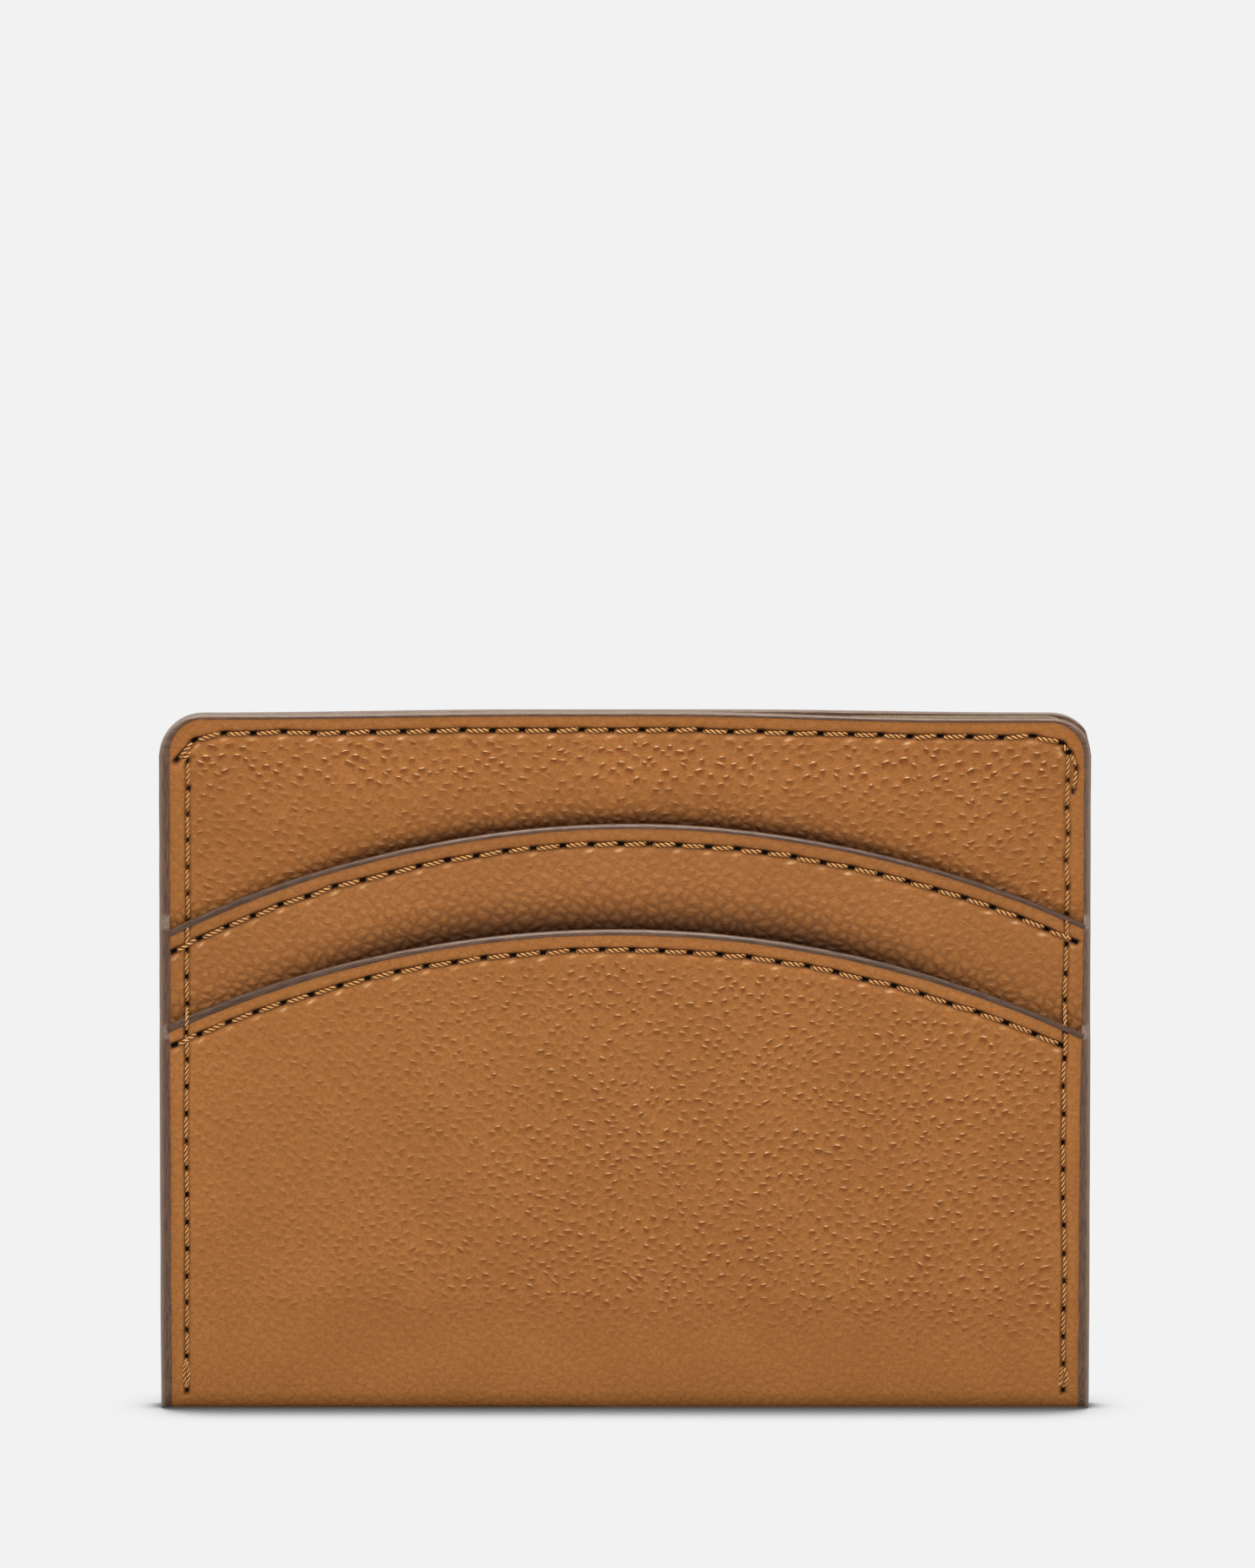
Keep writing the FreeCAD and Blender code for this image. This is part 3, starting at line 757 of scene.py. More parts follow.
def rounded(points, rounding, steps):
    """A closed outline (a, f) with each corner rounded by its own amount."""
    points = np.array(points, float)
    out = []
    befores, afters = np.roll(points, 1, axis=0), np.roll(points, -1, axis=0)
    for before, p, after, r in zip(befores, points, afters, rounding):
        if r <= 0:
            out.append(p)
            continue
        u, v = before - p, after - p
        lu, lv = np.linalg.norm(u), np.linalg.norm(v)
        r = min(r, 0.49 * lu, 0.49 * lv)
        a, b = p + u / lu * r, p + v / lv * r
        out += [(1 - t) ** 2 * a + 2 * t * (1 - t) * p + t * t * b for t in np.linspace(0, 1, steps + 1)]
    return np.array(out)


# The paint over a mouth's cut edge, (away from the edge, out from the leather's face)
MOUTH_SECTION = rounded(
    [(0.0, -0.88), (0.36, -0.88), (0.38, -0.16), (0.16, 0.06), (-0.10, 0.04), (-0.16, -0.07),
     (0.0, -0.09)],
    [0.0, 0.20, 0.34, 0.26, 0.08, 0.03, 0.0], steps=9,
)


def mouth_bead(name, which, sign, seed, material):
    """Edge paint along a mouth: a bead with a painted highlight on its shoulder in the middle and painted
    shade towards the sides.
    """
    if which == "upper":
        edge, smooth, thick, light = UPPER_EDGE, upper_smooth, 1.0, 0.58
    else:
        edge, smooth, thick, light = LOWER_EDGE, wrap_smooth, 1.20, 0.72
    xs = np.linspace(-PANEL_HALF, PANEL_HALF, 420)
    z = arc_z(edge, xs)
    normal = np.stack([(xs - edge[2]) / edge[1], arc_tilt(edge, xs)], axis=1)
    a, f = MOUTH_SECTION[:, 0], MOUTH_SECTION[:, 1]

    def uneven(cell, draw, lane=0):
        return noise(xs, xs * 0 + lane, cell, seed + draw)[:, None]

    swell = thick + 0.05 * uneven(2.6, 40) + 0.35 * smoothstep(20.0, 46.0, -xs)[:, None]
    up = a * swell + 0.03 * uneven(1.9, 41, 9) * (a < -0.05)
    out = f + 0.012 * uneven(1.3, 42) * (f > 0)
    depth = smooth(xs, z, seed)[:, None] + out
    rings = place(xs[:, None] + normal[:, :1] * up, z[:, None] + normal[:, 1:] * up, depth, sign)
    cut = np.stack([np.broadcast_to(xs[:, None], up.shape), up, out], axis=-1)
    middle = 1.0 - 0.9 * smoothstep(10.0, 34.0, np.abs(xs + 4.0))[:, None]
    # Painted highlight on the shoulder in the middle of the mouth, painted shade towards the sides
    crown = light * bell(a - 0.26, 0.065) * (f > -0.25) * middle - 0.45 * (1.0 - middle)
    build = Build()
    sweep(build, rings, sign < 0, cut=cut, crown=crown)
    finish_coat(build, f"{name}_{which}_mouth_edge_paint", material)


def top_outline(half, top, corner, xs, foot):
    """An outline over the top from foot to foot, with rounded corners and the top at xs: (x, z)."""
    angles = np.linspace(math.pi / 2, 0.0, 22)
    bend_x = half - corner + corner * np.sin(angles)
    bend_z = top - corner + corner * np.cos(angles)
    x = np.concatenate([[-foot[0]], -bend_x, xs, bend_x[::-1], [foot[0]]])
    z = np.concatenate([[foot[1]], bend_z, level(xs, top), bend_z[::-1], [foot[1]]])
    return np.stack([x, z], axis=1)


def top_bead(name, sign, seed, material):
    """Edge paint over the top of a main panel, whose ends lie inside the side paint."""
    flat = PANEL_HALF - PANEL_CORNER
    xs = np.linspace(-flat, flat, 360)[1:-1]
    foot = HEIGHT - CORNER_RADIUS - 0.6
    leather = top_outline(PANEL_HALF, PANEL_TOP, PANEL_CORNER, xs, (PANEL_HALF, foot))
    paint = top_outline(HALF_WIDTH, HEIGHT, CORNER_RADIUS, xs, (HALF_WIDTH - 0.06, foot))
    run = paint - leather
    reach = np.linalg.norm(run, axis=1)
    out_dir = run / reach[:, None]
    x, z = leather.T
    depth_out = main_smooth(x, z, seed) + 0.04
    gap = 0.012 + 0.14 * smoothstep(22.0, 32.0, x) * fade(43.0, 46.4, x)
    full = np.minimum(reach * (1.0 + 0.03 * noise(x, z, 3.1, seed + 50)), reach)
    to_side = smoothstep(0.55, 1.05, reach)
    lap = 0.08
    rings = []
    for k, side in enumerate(to_side):
        d0, d1, end = gap[k] * (1 - side), depth_out[k], full[k]
        section = rounded(
            [(0.0, d0), (end, d0), (end, d1), (-lap, d1), (-lap - 0.05, d1 - 0.09), (0.0, d1 - 0.12)],
            [0.0, 0.01 + 0.10 * (1 - side), (0.30 + 0.60 * side) * 1.6, 0.05, 0.02, 0.0], steps=5,
        )
        p = leather[k] + out_dir[k] * section[:, :1]
        rings.append(np.stack([p[:, 0], section[:, 1], p[:, 1]], axis=-1))
    x, d, z = np.moveaxis(np.array(rings), -1, 0)
    keep_side = fade(49.6, 50.7, x)
    points = np.stack([x + drift(x, z) * keep_side, sign * d, z + sag(x, z, sign)], axis=-1)
    cut = np.stack([np.broadcast_to(leather[:, :1], x.shape), z, d], axis=-1)
    away = np.sum((np.stack([x, z], axis=-1) - leather[:, None]) * out_dir[:, None], axis=-1)
    # Painted highlight on the top bead's rounded shoulder
    on_top = 0.55 + 0.45 * smoothstep(0.1, 0.9, d / MAIN_D[1])
    on_side = smoothstep(0.60, 0.72, d / MAIN_D[1])
    shoulder = smoothstep(0.25, 0.95, away / reach[:, None])
    crown = 0.8 * shoulder * (on_top + (on_side - on_top) * to_side[:, None])
    build = Build()
    sweep(build, points, sign < 0, cut=cut, crown=crown)
    finish_coat(build, f"{name}_top_edge_paint", material)


def side_coat(name, side, material):
    """The painted side: a rounded strip that follows the stack as it steps at each mouth."""
    foot = HEIGHT - CORNER_RADIUS
    fold = even(PROFILE[(PROFILE[:, 1] < 6.0) & (PROFILE[:, 0] <= 0)], 40)[::-1]
    wall = np.linspace(6.0, foot, 300)[1:]
    zs = np.concatenate([fold[:, 1], wall])
    depth = np.concatenate([-fold[:, 0], front_half_depth(wall)])
    for edge, outer, under in ((LOWER_EDGE, WRAP_D, UPPER_D), (UPPER_EDGE, UPPER_D, MAIN_D)):
        mouth = float(arc_z(edge, PANEL_HALF)) + MOUTH_PAINT
        depth = depth - (outer[1] - under[1]) * smoothstep(mouth - 1.0, mouth + 1.4, zs)
    above = zs > 0.02
    zs = np.concatenate([[0.0], zs[above]])
    depth = np.concatenate([[BASE_HALF_DEPTH * 0.9], depth[above]])

    edge_x = level(zs, PANEL_HALF) + (drift(level(zs, PANEL_HALF), zs) if side > 0 else 0.0)
    laps = 0.08 + 0.05 * noise(zs, zs * 0, 2.2, 60 + side)
    wobble = 0.03 * noise(zs, zs * 0 + 4, 4.0, 64 + side)
    rings = []
    for z, x, d, lap, wave in zip(zs, edge_x, depth + 0.04, laps, wobble):
        out = HALF_WIDTH - x
        r = min(0.95, d * 0.8) * 2.0
        outline = rounded([(-lap, -d), (out, -d), (out, d), (-lap, d)], [0.04, r, r, 0.04], steps=7)
        reach = outline[:, 0] + wave * (outline[:, 0] > 0.5 * out)
        reach = np.minimum(reach, out)
        rings.append(np.stack([side * (x + reach), outline[:, 1], level(outline, z)], axis=-1))
    rings = np.array(rings)
    reach, half = np.abs(rings[:, :, 0]), np.abs(rings[:, :, 1])
    on_flat = reach > reach.max(axis=1, keepdims=True) - 1e-4
    flat = np.where(on_flat, half, HALF_WIDTH).min(axis=1, keepdims=True)
    # Painted reflection on the rounded outer edge of the side paint
    crown = smoothstep(HALF_WIDTH - 0.62, HALF_WIDTH - 0.02, reach) * smoothstep(0.0, 0.10, half - flat)
    build = Build()
    sweep(build, rings, side > 0, cut=rings[:, :, ::-1], crown=crown)
    finish_coat(build, f"{name}_side_edge_paint", material)


# Stitching ------------------------------------------------------------------------------------
SAMPLES = 27                  # along a stitch


def stitch_shape(length, sunk, proud, gap):
    """A stitch from hole to hole: (way along, height over the leather) at even samples."""
    half = length / 2
    free = half - gap / 2
    rise = [
        (-free - 0.02, -sunk), (-free + 0.03, -sunk * 0.45), (-free + 0.16, proud * 0.35),
        (-free + 0.42, proud * 0.86), (-free * 0.45, proud), (0.0, proud * 1.06),
    ]
    path = np.array(rise + [(-s, h) for s, h in rise[-2::-1]])
    return even(even(path, 60), SAMPLES)


def twisted(build, centres, side, out, radius, pitch, phase, plies=2, ring=8, flat=0.9):
    """Twisted strands along paths (paths, samples, 3), with fixed side vectors per path."""
    paths, samples = centres.shape[:2]
    tangent = np.gradient(centres, axis=1)
    tangent /= np.linalg.norm(tangent, axis=2, keepdims=True)
    side = np.broadcast_to(side[:, None, :], centres.shape)
    up = np.cross(side, tangent)
    up /= np.linalg.norm(up, axis=2, keepdims=True)
    flipped = np.sum(up * out, axis=2, keepdims=True).mean(axis=1, keepdims=True) < 0
    up = np.where(flipped, -up, up)
    hand = np.sum(np.cross(side[0, samples // 2], up[0, samples // 2]) * tangent[0, samples // 2])
    steps = np.linalg.norm(np.diff(centres, axis=1), axis=2)
    at = np.concatenate([np.zeros((paths, 1)), np.cumsum(steps, axis=1)], axis=1)
    lay = radius * 0.90
    share = np.linspace(0.0, 1.0, samples)[None, :, None]
    swell = 0.66 + 0.34 * np.sin(math.pi * share) ** 0.6
    first = np.arange(paths)[:, None] * samples * ring + np.arange(ring)
    for k in range(plies):
        angle = 2 * math.pi * (at / pitch + k / plies) + phase[:, None]
        c, s = np.cos(angle)[..., None], np.sin(angle)[..., None]
        middle = centres + lay * swell * (c * side + flat * s * up)
        rings, deep = [], []
        for m in range(ring):
            a = 2 * math.pi * m / ring
            rings.append(middle + radius * swell * (math.cos(a) * side + math.sin(a) * up))
            away = np.hypot(lay * c + radius * math.cos(a), lay * flat * s + radius * math.sin(a))[..., 0]
            # deep: painted shade in the hollows between the plies
            deep.append(fade(lay + 0.18 * radius, lay + 0.92 * radius, away))
        rings, deep = np.stack(rings, axis=2), np.stack(deep, axis=2)
        twist = np.broadcast_to((at / pitch * plies)[..., None], deep.shape)
        across = np.broadcast_to(np.arange(ring) / ring, deep.shape)
        cut = np.stack([twist, across, np.full(deep.shape, float(k))], axis=-1)
        start = build.add_points(rings, cut=cut, deep=deep)
        for path in range(paths):
            build.grid(start + path * samples * ring, samples, ring, hand <= 0, wrap=True)
        for end in (0, samples - 1):
            cap = start + first + end * ring
            hub = build.add_points(rings[:, end].mean(axis=1)) + np.arange(paths)[:, None]
            tris = np.stack([cap, np.roll(cap, -1, axis=1), np.broadcast_to(hub, cap.shape)], axis=-1)
            turn = (end == 0) == (hand > 0)
            build.tris.append(tris.reshape(-1, 3)[:, ::-1] if turn else tris.reshape(-1, 3))


def tight(depth, at):
    """A thread under tension: its depths bridge the hollows between the high points."""
    out = depth.copy()
    n = len(depth)
    i = 0
    while i < n - 1:
        slopes = (depth[i + 1:] - depth[i]) / (at[i + 1:] - at[i])
        j = i + 1 + int(np.argmax(slopes))
        t = (at[i:j + 1] - at[i]) / (at[j] - at[i])
        out[i:j + 1] = depth[i] + (depth[j] - depth[i]) * t
        i = j
    return out


# A thread's thickness and twist, how deep its ends and how high its middle lie, the gap between
# two stitches at their hole, and how far a stitch leans out of its row
THREAD = {"radius": 0.122, "pitch": 1.18, "sunk": 0.42, "proud": 0.11, "gap": 0.94, "slant": 0.26}
SIDE_THREAD = {"radius": 0.110, "pitch": 1.18, "sunk": 0.40, "proud": 0.09, "gap": 0.75, "slant": 0.0}
FLOOR_THREAD = dict(THREAD, radius=0.07, sunk=0.15, proud=0.0, gap=0.5, slant=0.0)
FLOOR_SEAM_Z, FLOOR_SEAM_END = 14.6, 46.0
THREAD_BED = 0.8              # share of a seam's groove that its thread lies in


def lay_stitches(build, pairs, face, sign, rng, kind, bridge=False, bows=None):
    """Stitches between pairs of needle holes, on a face that gives depth for (x, z)."""
    pairs = np.array(pairs, float)
    bows = np.zeros(len(pairs)) if bows is None else np.array(bows)
    centres, sides = [], []
    for (a, b), bow in zip(pairs, bows):
        run = b - a
        length = float(np.hypot(*run))
        along = run / length
        across = np.array([-along[1], along[0]])
        shape = stitch_shape(length, kind["sunk"], kind["proud"], kind["gap"])
        t = shape[:, 0]
        lean = kind["slant"] * rng.uniform(0.4, 1.6)
        curve = bow + rng.normal(0.0, 0.03)
        aside = rng.normal(0.0, 0.02) + lean * t / length + curve * np.cos(math.pi * t / length)
        xz = (a + b) / 2 + t[:, None] * along + aside[:, None] * across
        depth = face(xz[:, 0], xz[:, 1])
        if bridge:
            inside = slice(3, SAMPLES - 3)
            depth[inside] = tight(depth[inside], t[inside])
        laid = depth + shape[:, 1] + rng.normal(0.0, 0.012)
        centres.append(place(xz[:, 0], xz[:, 1], laid, sign))
        sides.append((across[0], 0.0, across[1]))
    phase = rng.uniform(0, 2 * math.pi, len(pairs))
    out = np.array((0.0, sign, 0.0))
    twisted(build, np.array(centres), np.array(sides), out, kind["radius"], kind["pitch"], phase)


def stack_depth(x, z, seed):
    """Depth of whichever layer is outermost, with its seams' grooves, and the painted mouths."""
    over_lower, over_upper = over_arc(LOWER_EDGE, x, z), over_arc(UPPER_EDGE, x, z)
    wrap = wrap_smooth(x, z, seed) + np.where(over_lower > -0.5, 0.06, 0.0)
    upper = upper_smooth(x, z, seed) + np.where(over_upper > -0.5, 0.06, 0.0)
    main = main_smooth(x, z, seed)
    return np.where(over_lower < 0.45, wrap, np.where(over_upper < 0.45, upper, main))


def row(holes):
    """Every stitch of a seam, from hole to hole."""
    return list(zip(holes, holes[1:]))


def sew(node, material, rows, rng, kind, **how):
    """One seam's piece of thread, from (needle hole pairs, face, side of the case)."""
    build = Build()
    for pairs, face, sign in rows:
        lay_stitches(build, pairs, face, sign, rng, kind, **how)
    finish_piece(build.make(f"{node}_thread", material), [node])


def stitching(material):
    """Every seam; the random draws run on from seam to seam of a face."""
    groove = SEAM["depth"] * THREAD_BED
    for name, sign, seed in SIDES:
        rng = np.random.default_rng(100 + seed)
        kind = dict(THREAD, slant=-sign * THREAD["slant"])
        seams = (
            ("top", row(TOP_HOLES) + [LEFT_TURN], main_smooth),
            ("upper_mouth", row(UPPER_HOLES), upper_smooth),
            ("lower_mouth", row(LOWER_HOLES), wrap_smooth),
        )
        for which, pairs, smooth in seams:
            rows = [(pairs, lambda x, z: smooth(x, z, seed) - groove, sign)]
            sew(f"{name}_{which}_stitching", material, rows, rng, kind)
        count = round(2 * FLOOR_SEAM_END / SEAM_PITCH)
        xs = np.linspace(-FLOOR_SEAM_END, FLOOR_SEAM_END, count + 1)
        holes = np.stack([xs, level(xs, FLOOR_SEAM_Z)], axis=1)
        rows = [(row(holes), lambda x, z: level(x, UPPER_D[1] - 0.19), sign)]
        sew(f"{name}_slot_floor_stitching", material, rows, rng, FLOOR_THREAD)

    doubled = {
        "left": [((-48.1, 2.0), (-48.15, 5.9))],
        "right": row(CORNER_LOOP) + [((47.95, 2.1), (47.95, 4.9)), ((47.85, 3.5), (47.35, 2.2))],
    }
    side_groove = SIDE_SEAM["depth"] * THREAD_BED
    for name, side, holes in (("left", -1, LEFT_HOLES), ("right", 1, RIGHT_HOLES)):
        rng = np.random.default_rng(200 + side)
        pairs = row(holes) + doubled[name]
        bows = np.zeros(len(pairs))
        bows[0], bows[len(holes) - 1 if side < 0 else len(holes) + 1] = 0.34, -0.34
        rows = [
            (pairs, lambda x, z, seed=seed: stack_depth(x, z, seed) - side_groove, sign)
            for _, sign, seed in SIDES
        ]
        sew(f"{name}_side_stitching", material, rows, rng, SIDE_THREAD, bridge=True, bows=bows)


# Materials ------------------------------------------------------------------------------------
def srgb(red, green, blue):
    """A linear colour from its screen values of 0 to 255."""
    def linear(c):
        c /= 255.0
        return c / 12.92 if c <= 0.04045 else ((c + 0.055) / 1.055) ** 2.4

    return (linear(red), linear(green), linear(blue), 1.0)


class Shader:
    """The node tree of a material or world, built call by call; heights are millimetres."""

    def __init__(self, owner):
        self.owner = owner
        owner.use_nodes = True
        self.tree = owner.node_tree
        self.tree.nodes.clear()

    def node(self, kind, inputs, **props):
        node = self.tree.nodes.new(kind)
        for key, value in props.items():
            setattr(node, key, value)
        for key, value in inputs.items():
            if isinstance(value, bpy.types.NodeSocket):
                self.tree.links.new(value, node.inputs[key])
            else:
                node.inputs[key].default_value = value
        return node

    def math(self, operation, *values):
        return self.node("ShaderNodeMath", dict(enumerate(values)), operation=operation).outputs[0]

    def times(self, first, *factors):
        for factor in factors:
            first = self.math("MULTIPLY", first, factor)
        return first

    def plus(self, a, b):
        return self.math("ADD", a, b)

    def line(self, value, slope, start):
        return self.math("MULTIPLY_ADD", value, slope, start)

    def step(self, value, low, high, start=0.0, end=1.0):
        inputs = {"Value": value, "From Min": low, "From Max": high, "To Min": start, "To Max": end}
        return self.node("ShaderNodeMapRange", inputs, interpolation_type="SMOOTHSTEP").outputs[0]

    def mix(self, factor, a, b):
        """From colour a to colour b; a factor below 0 counts as 0, and one above 1 as 1."""
        return self.node("ShaderNodeMix", {0: factor, 6: a, 7: b}, data_type="RGBA").outputs[2]

    def attribute(self, name, output="Fac"):
        return self.node("ShaderNodeAttribute", {}, attribute_name=name).outputs[output]

    def vector(self, operation, a, b):
        return self.node("ShaderNodeVectorMath", {0: a, 1: b}, operation=operation).outputs[0]

    def scaled(self, vector, scale):
        inputs = {0: vector, "Scale": scale}
        return self.node("ShaderNodeVectorMath", inputs, operation="SCALE").outputs[0]

    def mapped(self, vector, scale, turn=0.0):
        inputs = {"Vector": vector, "Rotation": (0.0, 0.0, turn), "Scale": scale}
        return self.node("ShaderNodeMapping", inputs).outputs[0]

    def axes(self, vector):
        return self.node("ShaderNodeSeparateXYZ", {0: vector}).outputs

    def noise(self, vector, scale, detail, roughness=0.5, output=0):
        inputs = {"Vector": vector, "Scale": scale, "Detail": detail, "Roughness": roughness}
        return self.node("ShaderNodeTexNoise", inputs).outputs[output]

    def cells(self, vector, feature):
        inputs = {"Vector": vector, "Scale": 1.0, "Randomness": 0.62}
        return self.node("ShaderNodeTexVoronoi", inputs, voronoi_dimensions="2D", feature=feature).outputs

    def bump(self, height, unit=1.0, strength=1.0):
        inputs = {"Strength": strength, "Distance": unit * MM, "Height": height}
        return self.node("ShaderNodeBump", inputs).outputs[0]

    def surface(self, color, roughness, normal, **constants):
        inputs = {"Base Color": color, "Roughness": roughness, "Normal": normal}
        inputs.update({key.replace("_", " "): value for key, value in constants.items()})
        return self.finish(self.node("ShaderNodeBsdfPrincipled", inputs))

    def finish(self, shader, kind="ShaderNodeOutputMaterial"):
        self.node(kind, {0: shader.outputs[0]})
        return self.owner


GRAIN_TURN = math.radians(35.4)    # the slant of the grain's rows


def leather_material(name, offset, pitch, depth, glints, pits, pebbles, base=(168, 107, 53)):
    """Wax-finished tan leather with a pressed cross grain in slanting rows."""
    s = Shader(bpy.data.materials.new(name))
    cut, share, near_mouth = s.attribute("cut", "Vector"), s.attribute("grain"), s.attribute("crease")
    moved = s.vector("ADD", cut, offset)

    # Wandering rows of cells, and the place of a point in its cell
    wander = s.vector("SUBTRACT", s.noise(moved, 0.16, 1.0, output="Color"), (0.5, 0.5, 0.5))
    wandered = s.vector("ADD", moved, s.scaled(wander, 2.2))
    lattice = s.mapped(wandered, (1 / pitch, 1 / pitch, 1.0), GRAIN_TURN)
    cells = s.cells(lattice, "F1")
    edges = s.cells(lattice, "DISTANCE_TO_EDGE")["Distance"]
    local = s.vector("SUBTRACT", lattice, cells["Position"])
    upright = {"Vector": local, "Angle": -GRAIN_TURN}
    local = s.scaled(s.node("ShaderNodeVectorRotate", upright, rotation_type="Z_AXIS").outputs[0], 1.16)
    random = s.node("ShaderNodeSeparateColor", {0: cells["Color"]}).outputs
    dx, dz = s.axes(local)[:2]

    # A crescent in each cell: a raised crest over a pit that mends downwards
    lean = s.plus(s.line(random[1], 0.7, -0.35), s.times(s.axes(cut)[0], -0.0025))
    dz = s.plus(dz, s.times(dx, lean))
    arch = s.plus(dz, s.times(s.times(dx, dx), 0.55))
    beside = s.math("DIVIDE", s.math("ABSOLUTE", dx), s.line(random[2], 0.26, 0.34))
    whole = s.times(s.step(beside, 0.30, 1.20, 1.0, 0.0), s.line(random[0], 0.65, 0.35), share)
    rise = s.step(arch, 0.16, 0.36, 1.0, 0.0)
    drop = s.step(arch, -0.04, 0.12, 1.0, 0.0)
    mend = s.step(arch, -0.52, -0.10, 1.0, 0.0)
    lens = s.times(s.plus(rise, s.line(mend, 0.9, s.times(drop, -1.9))), whole)

    # Height: crescents, pebbles that swell in the crease over a mouth, and fine wrinkles and pores
    deep = s.math("POWER", near_mouth, 0.30)
    domes = s.times(s.step(edges, 0.0, 0.40), s.line(deep, 0.130, pebbles))
    fine = s.noise(moved, 2.4, 4.0, 0.62)
    pores = s.noise(moved, 8.0, 2.0)
    height = s.plus(s.plus(s.times(lens, depth), domes), s.times(fine, s.line(share, 0.08, 0.11)))
    height = s.plus(height, s.times(pores, 0.035))

    # Colour: patches, wrinkles and pores, then pits with painted shade, painted shade on their lips,
    # painted highlights on crests, painted shade between pebbles, cut edges, painted shade over a mouth
    # and painted shade and highlights at the seams
    base = srgb(*base)
    dusk = tuple(c * k for c, k in zip(base[:3], (0.88, 0.86, 0.80))) + (1.0,)
    # Pits: darker pigment in the hollows, with painted shade in them as well
    pit = s.times(drop, s.step(arch, -0.72, -0.12), whole)
    # Painted shade on the steep downward-facing wall under each crest
    lip_shade = s.times(drop, s.step(arch, -0.16, -0.02), whole)
    crest = s.times(s.step(arch, 0.12, 0.26, 1.0, 0.0), s.step(arch, 0.02, 0.10), whole)
    glint = s.times(s.math("POWER", crest, 2.2), s.step(beside, 0.05, 0.72, 1.0, 0.0), glints)
    # Painted shade in the creases between pebbles, strongest in the crease over a mouth
    pebble_crease_shade = s.times(s.line(deep, 0.58, 0.16), s.step(pores, 0.3, 0.6))
    mark = s.attribute("mark")
    tone = s.mix(s.step(s.noise(moved, 0.09, 3.0, 0.55), 0.3, 0.7), dusk, base)
    for amount, color in (
        (s.step(fine, 0.44, 0.62, 0.0, 0.55), (140, 82, 32)),
        (s.step(pores, 0.38, 0.62, 0.0, 0.30), (190, 128, 68)),
        (s.times(pit, 1.15 * pits), (126, 68, 22)),
        (s.times(lip_shade, 0.22 * pits), (84, 44, 15)),
        (glint, (236, 192, 140)),
        (s.times(s.step(edges, 0.0, 0.30, 1.0, 0.0), pebble_crease_shade), (70, 34, 12)),
        (s.times(s.attribute("edge"), 0.12), (120, 70, 34)),
        # Painted shade in the crease over a mouth's edge
        (s.times(near_mouth, 0.84), (38, 13, 2)),
        # Painted shade in the needle holes and along the seams' lips, then a painted highlight on the
        # puckers under them
        (mark, (9, 3, 1)),
        (s.times(mark, -0.80), (236, 194, 142)),
    ):
        tone = s.mix(amount, tone, srgb(*color))
    rough = s.plus(s.step(fine, 0.3, 0.7, 0.46, 0.58), s.times(crest, -0.26))
    rough = s.math("MAXIMUM", rough, mark)
    return s.surface(tone, rough, s.bump(height), Specular_IOR_Level=0.16)


LAYER_STEP = 0.95             # from ply to ply of the leather that shows through the side paint


def paint_material(name):
    """Dark brown edge paint in several thin glossy coats, with a painted highlight where the bead's
    painted light is above 0 and painted shade where it is below 0.
    """
    s = Shader(bpy.data.materials.new(name))
    cut, crown = s.attribute("cut", "Vector"), s.attribute("crown")
    layers = s.noise(s.mapped(cut, (0.35, 4.0, 4.0)), 1.6, 3.0, 0.6)
    lumps = s.noise(cut, 0.8, 2.0)
    plies = s.math("SINE", s.times(s.axes(cut)[1], 2 * math.pi / LAYER_STEP))
    height = s.plus(s.plus(s.times(layers, 0.055), s.times(lumps, 0.035)), s.times(plies, 0.018))
    tone = s.mix(s.step(layers, 0.3, 0.7), srgb(66, 43, 30), srgb(107, 76, 55))
    # Painted highlight on the bead's shoulder, then painted shade where the value falls below 0
    tone = s.mix(s.times(crown, 0.60), tone, srgb(150, 130, 112))
    tone = s.mix(s.times(crown, -0.90), tone, srgb(40, 24, 14))
    rough = s.step(lumps, 0.3, 0.7, 0.26, 0.40)
    return s.surface(
        tone, rough, s.bump(height), Coat_Weight=0.15, Coat_Roughness=0.20, Specular_IOR_Level=0.32
    )


def thread_material(name):
    """Waxed golden thread, each strand with its own fine fibres."""
    s = Shader(bpy.data.materials.new(name))
    strands = s.noise(s.mapped(s.attribute("cut", "Vector"), (0.7, 9.0, 3.0)), 1.5, 3.0, 0.6)
    tone = s.mix(s.step(strands, 0.3, 0.7), srgb(196, 130, 66), srgb(244, 184, 112))
    # Painted shade in the hollows between the plies
    tone = s.mix(s.times(s.attribute("deep"), 0.95), tone, srgb(62, 30, 8))
    return s.surface(tone, 0.48, s.bump(strands, 0.02, 0.6), Specular_IOR_Level=0.3)


YARN = 0.5                    # spacing of the lining's yarns


def lining_material(name):
    """Plain-woven cotton lining."""
    s = Shader(bpy.data.materials.new(name))
    place_mm = s.axes(s.scaled(s.node("ShaderNodeTexCoord", {}).outputs["Object"], 1 / MM))
    warp, weft = (s.math("SINE", s.times(place_mm[k], 2 * math.pi / YARN)) for k in (0, 2))
    weave = s.times(warp, weft)
    tone = s.mix(s.step(weave, -1.0, 1.0), srgb(88, 62, 42), srgb(122, 90, 62))
    return s.surface(tone, 0.85, s.bump(weave, 0.03))


def board_material(name):
    """Grey-brown fibre board."""
    s = Shader(bpy.data.materials.new(name))
    fibres = s.noise(s.node("ShaderNodeTexCoord", {}).outputs["Object"], 900.0, 4.0, 0.6)
    tone = s.mix(fibres, srgb(120, 104, 84), srgb(168, 150, 124))
    return s.surface(tone, 0.9, s.bump(fibres, 0.05, 0.5))


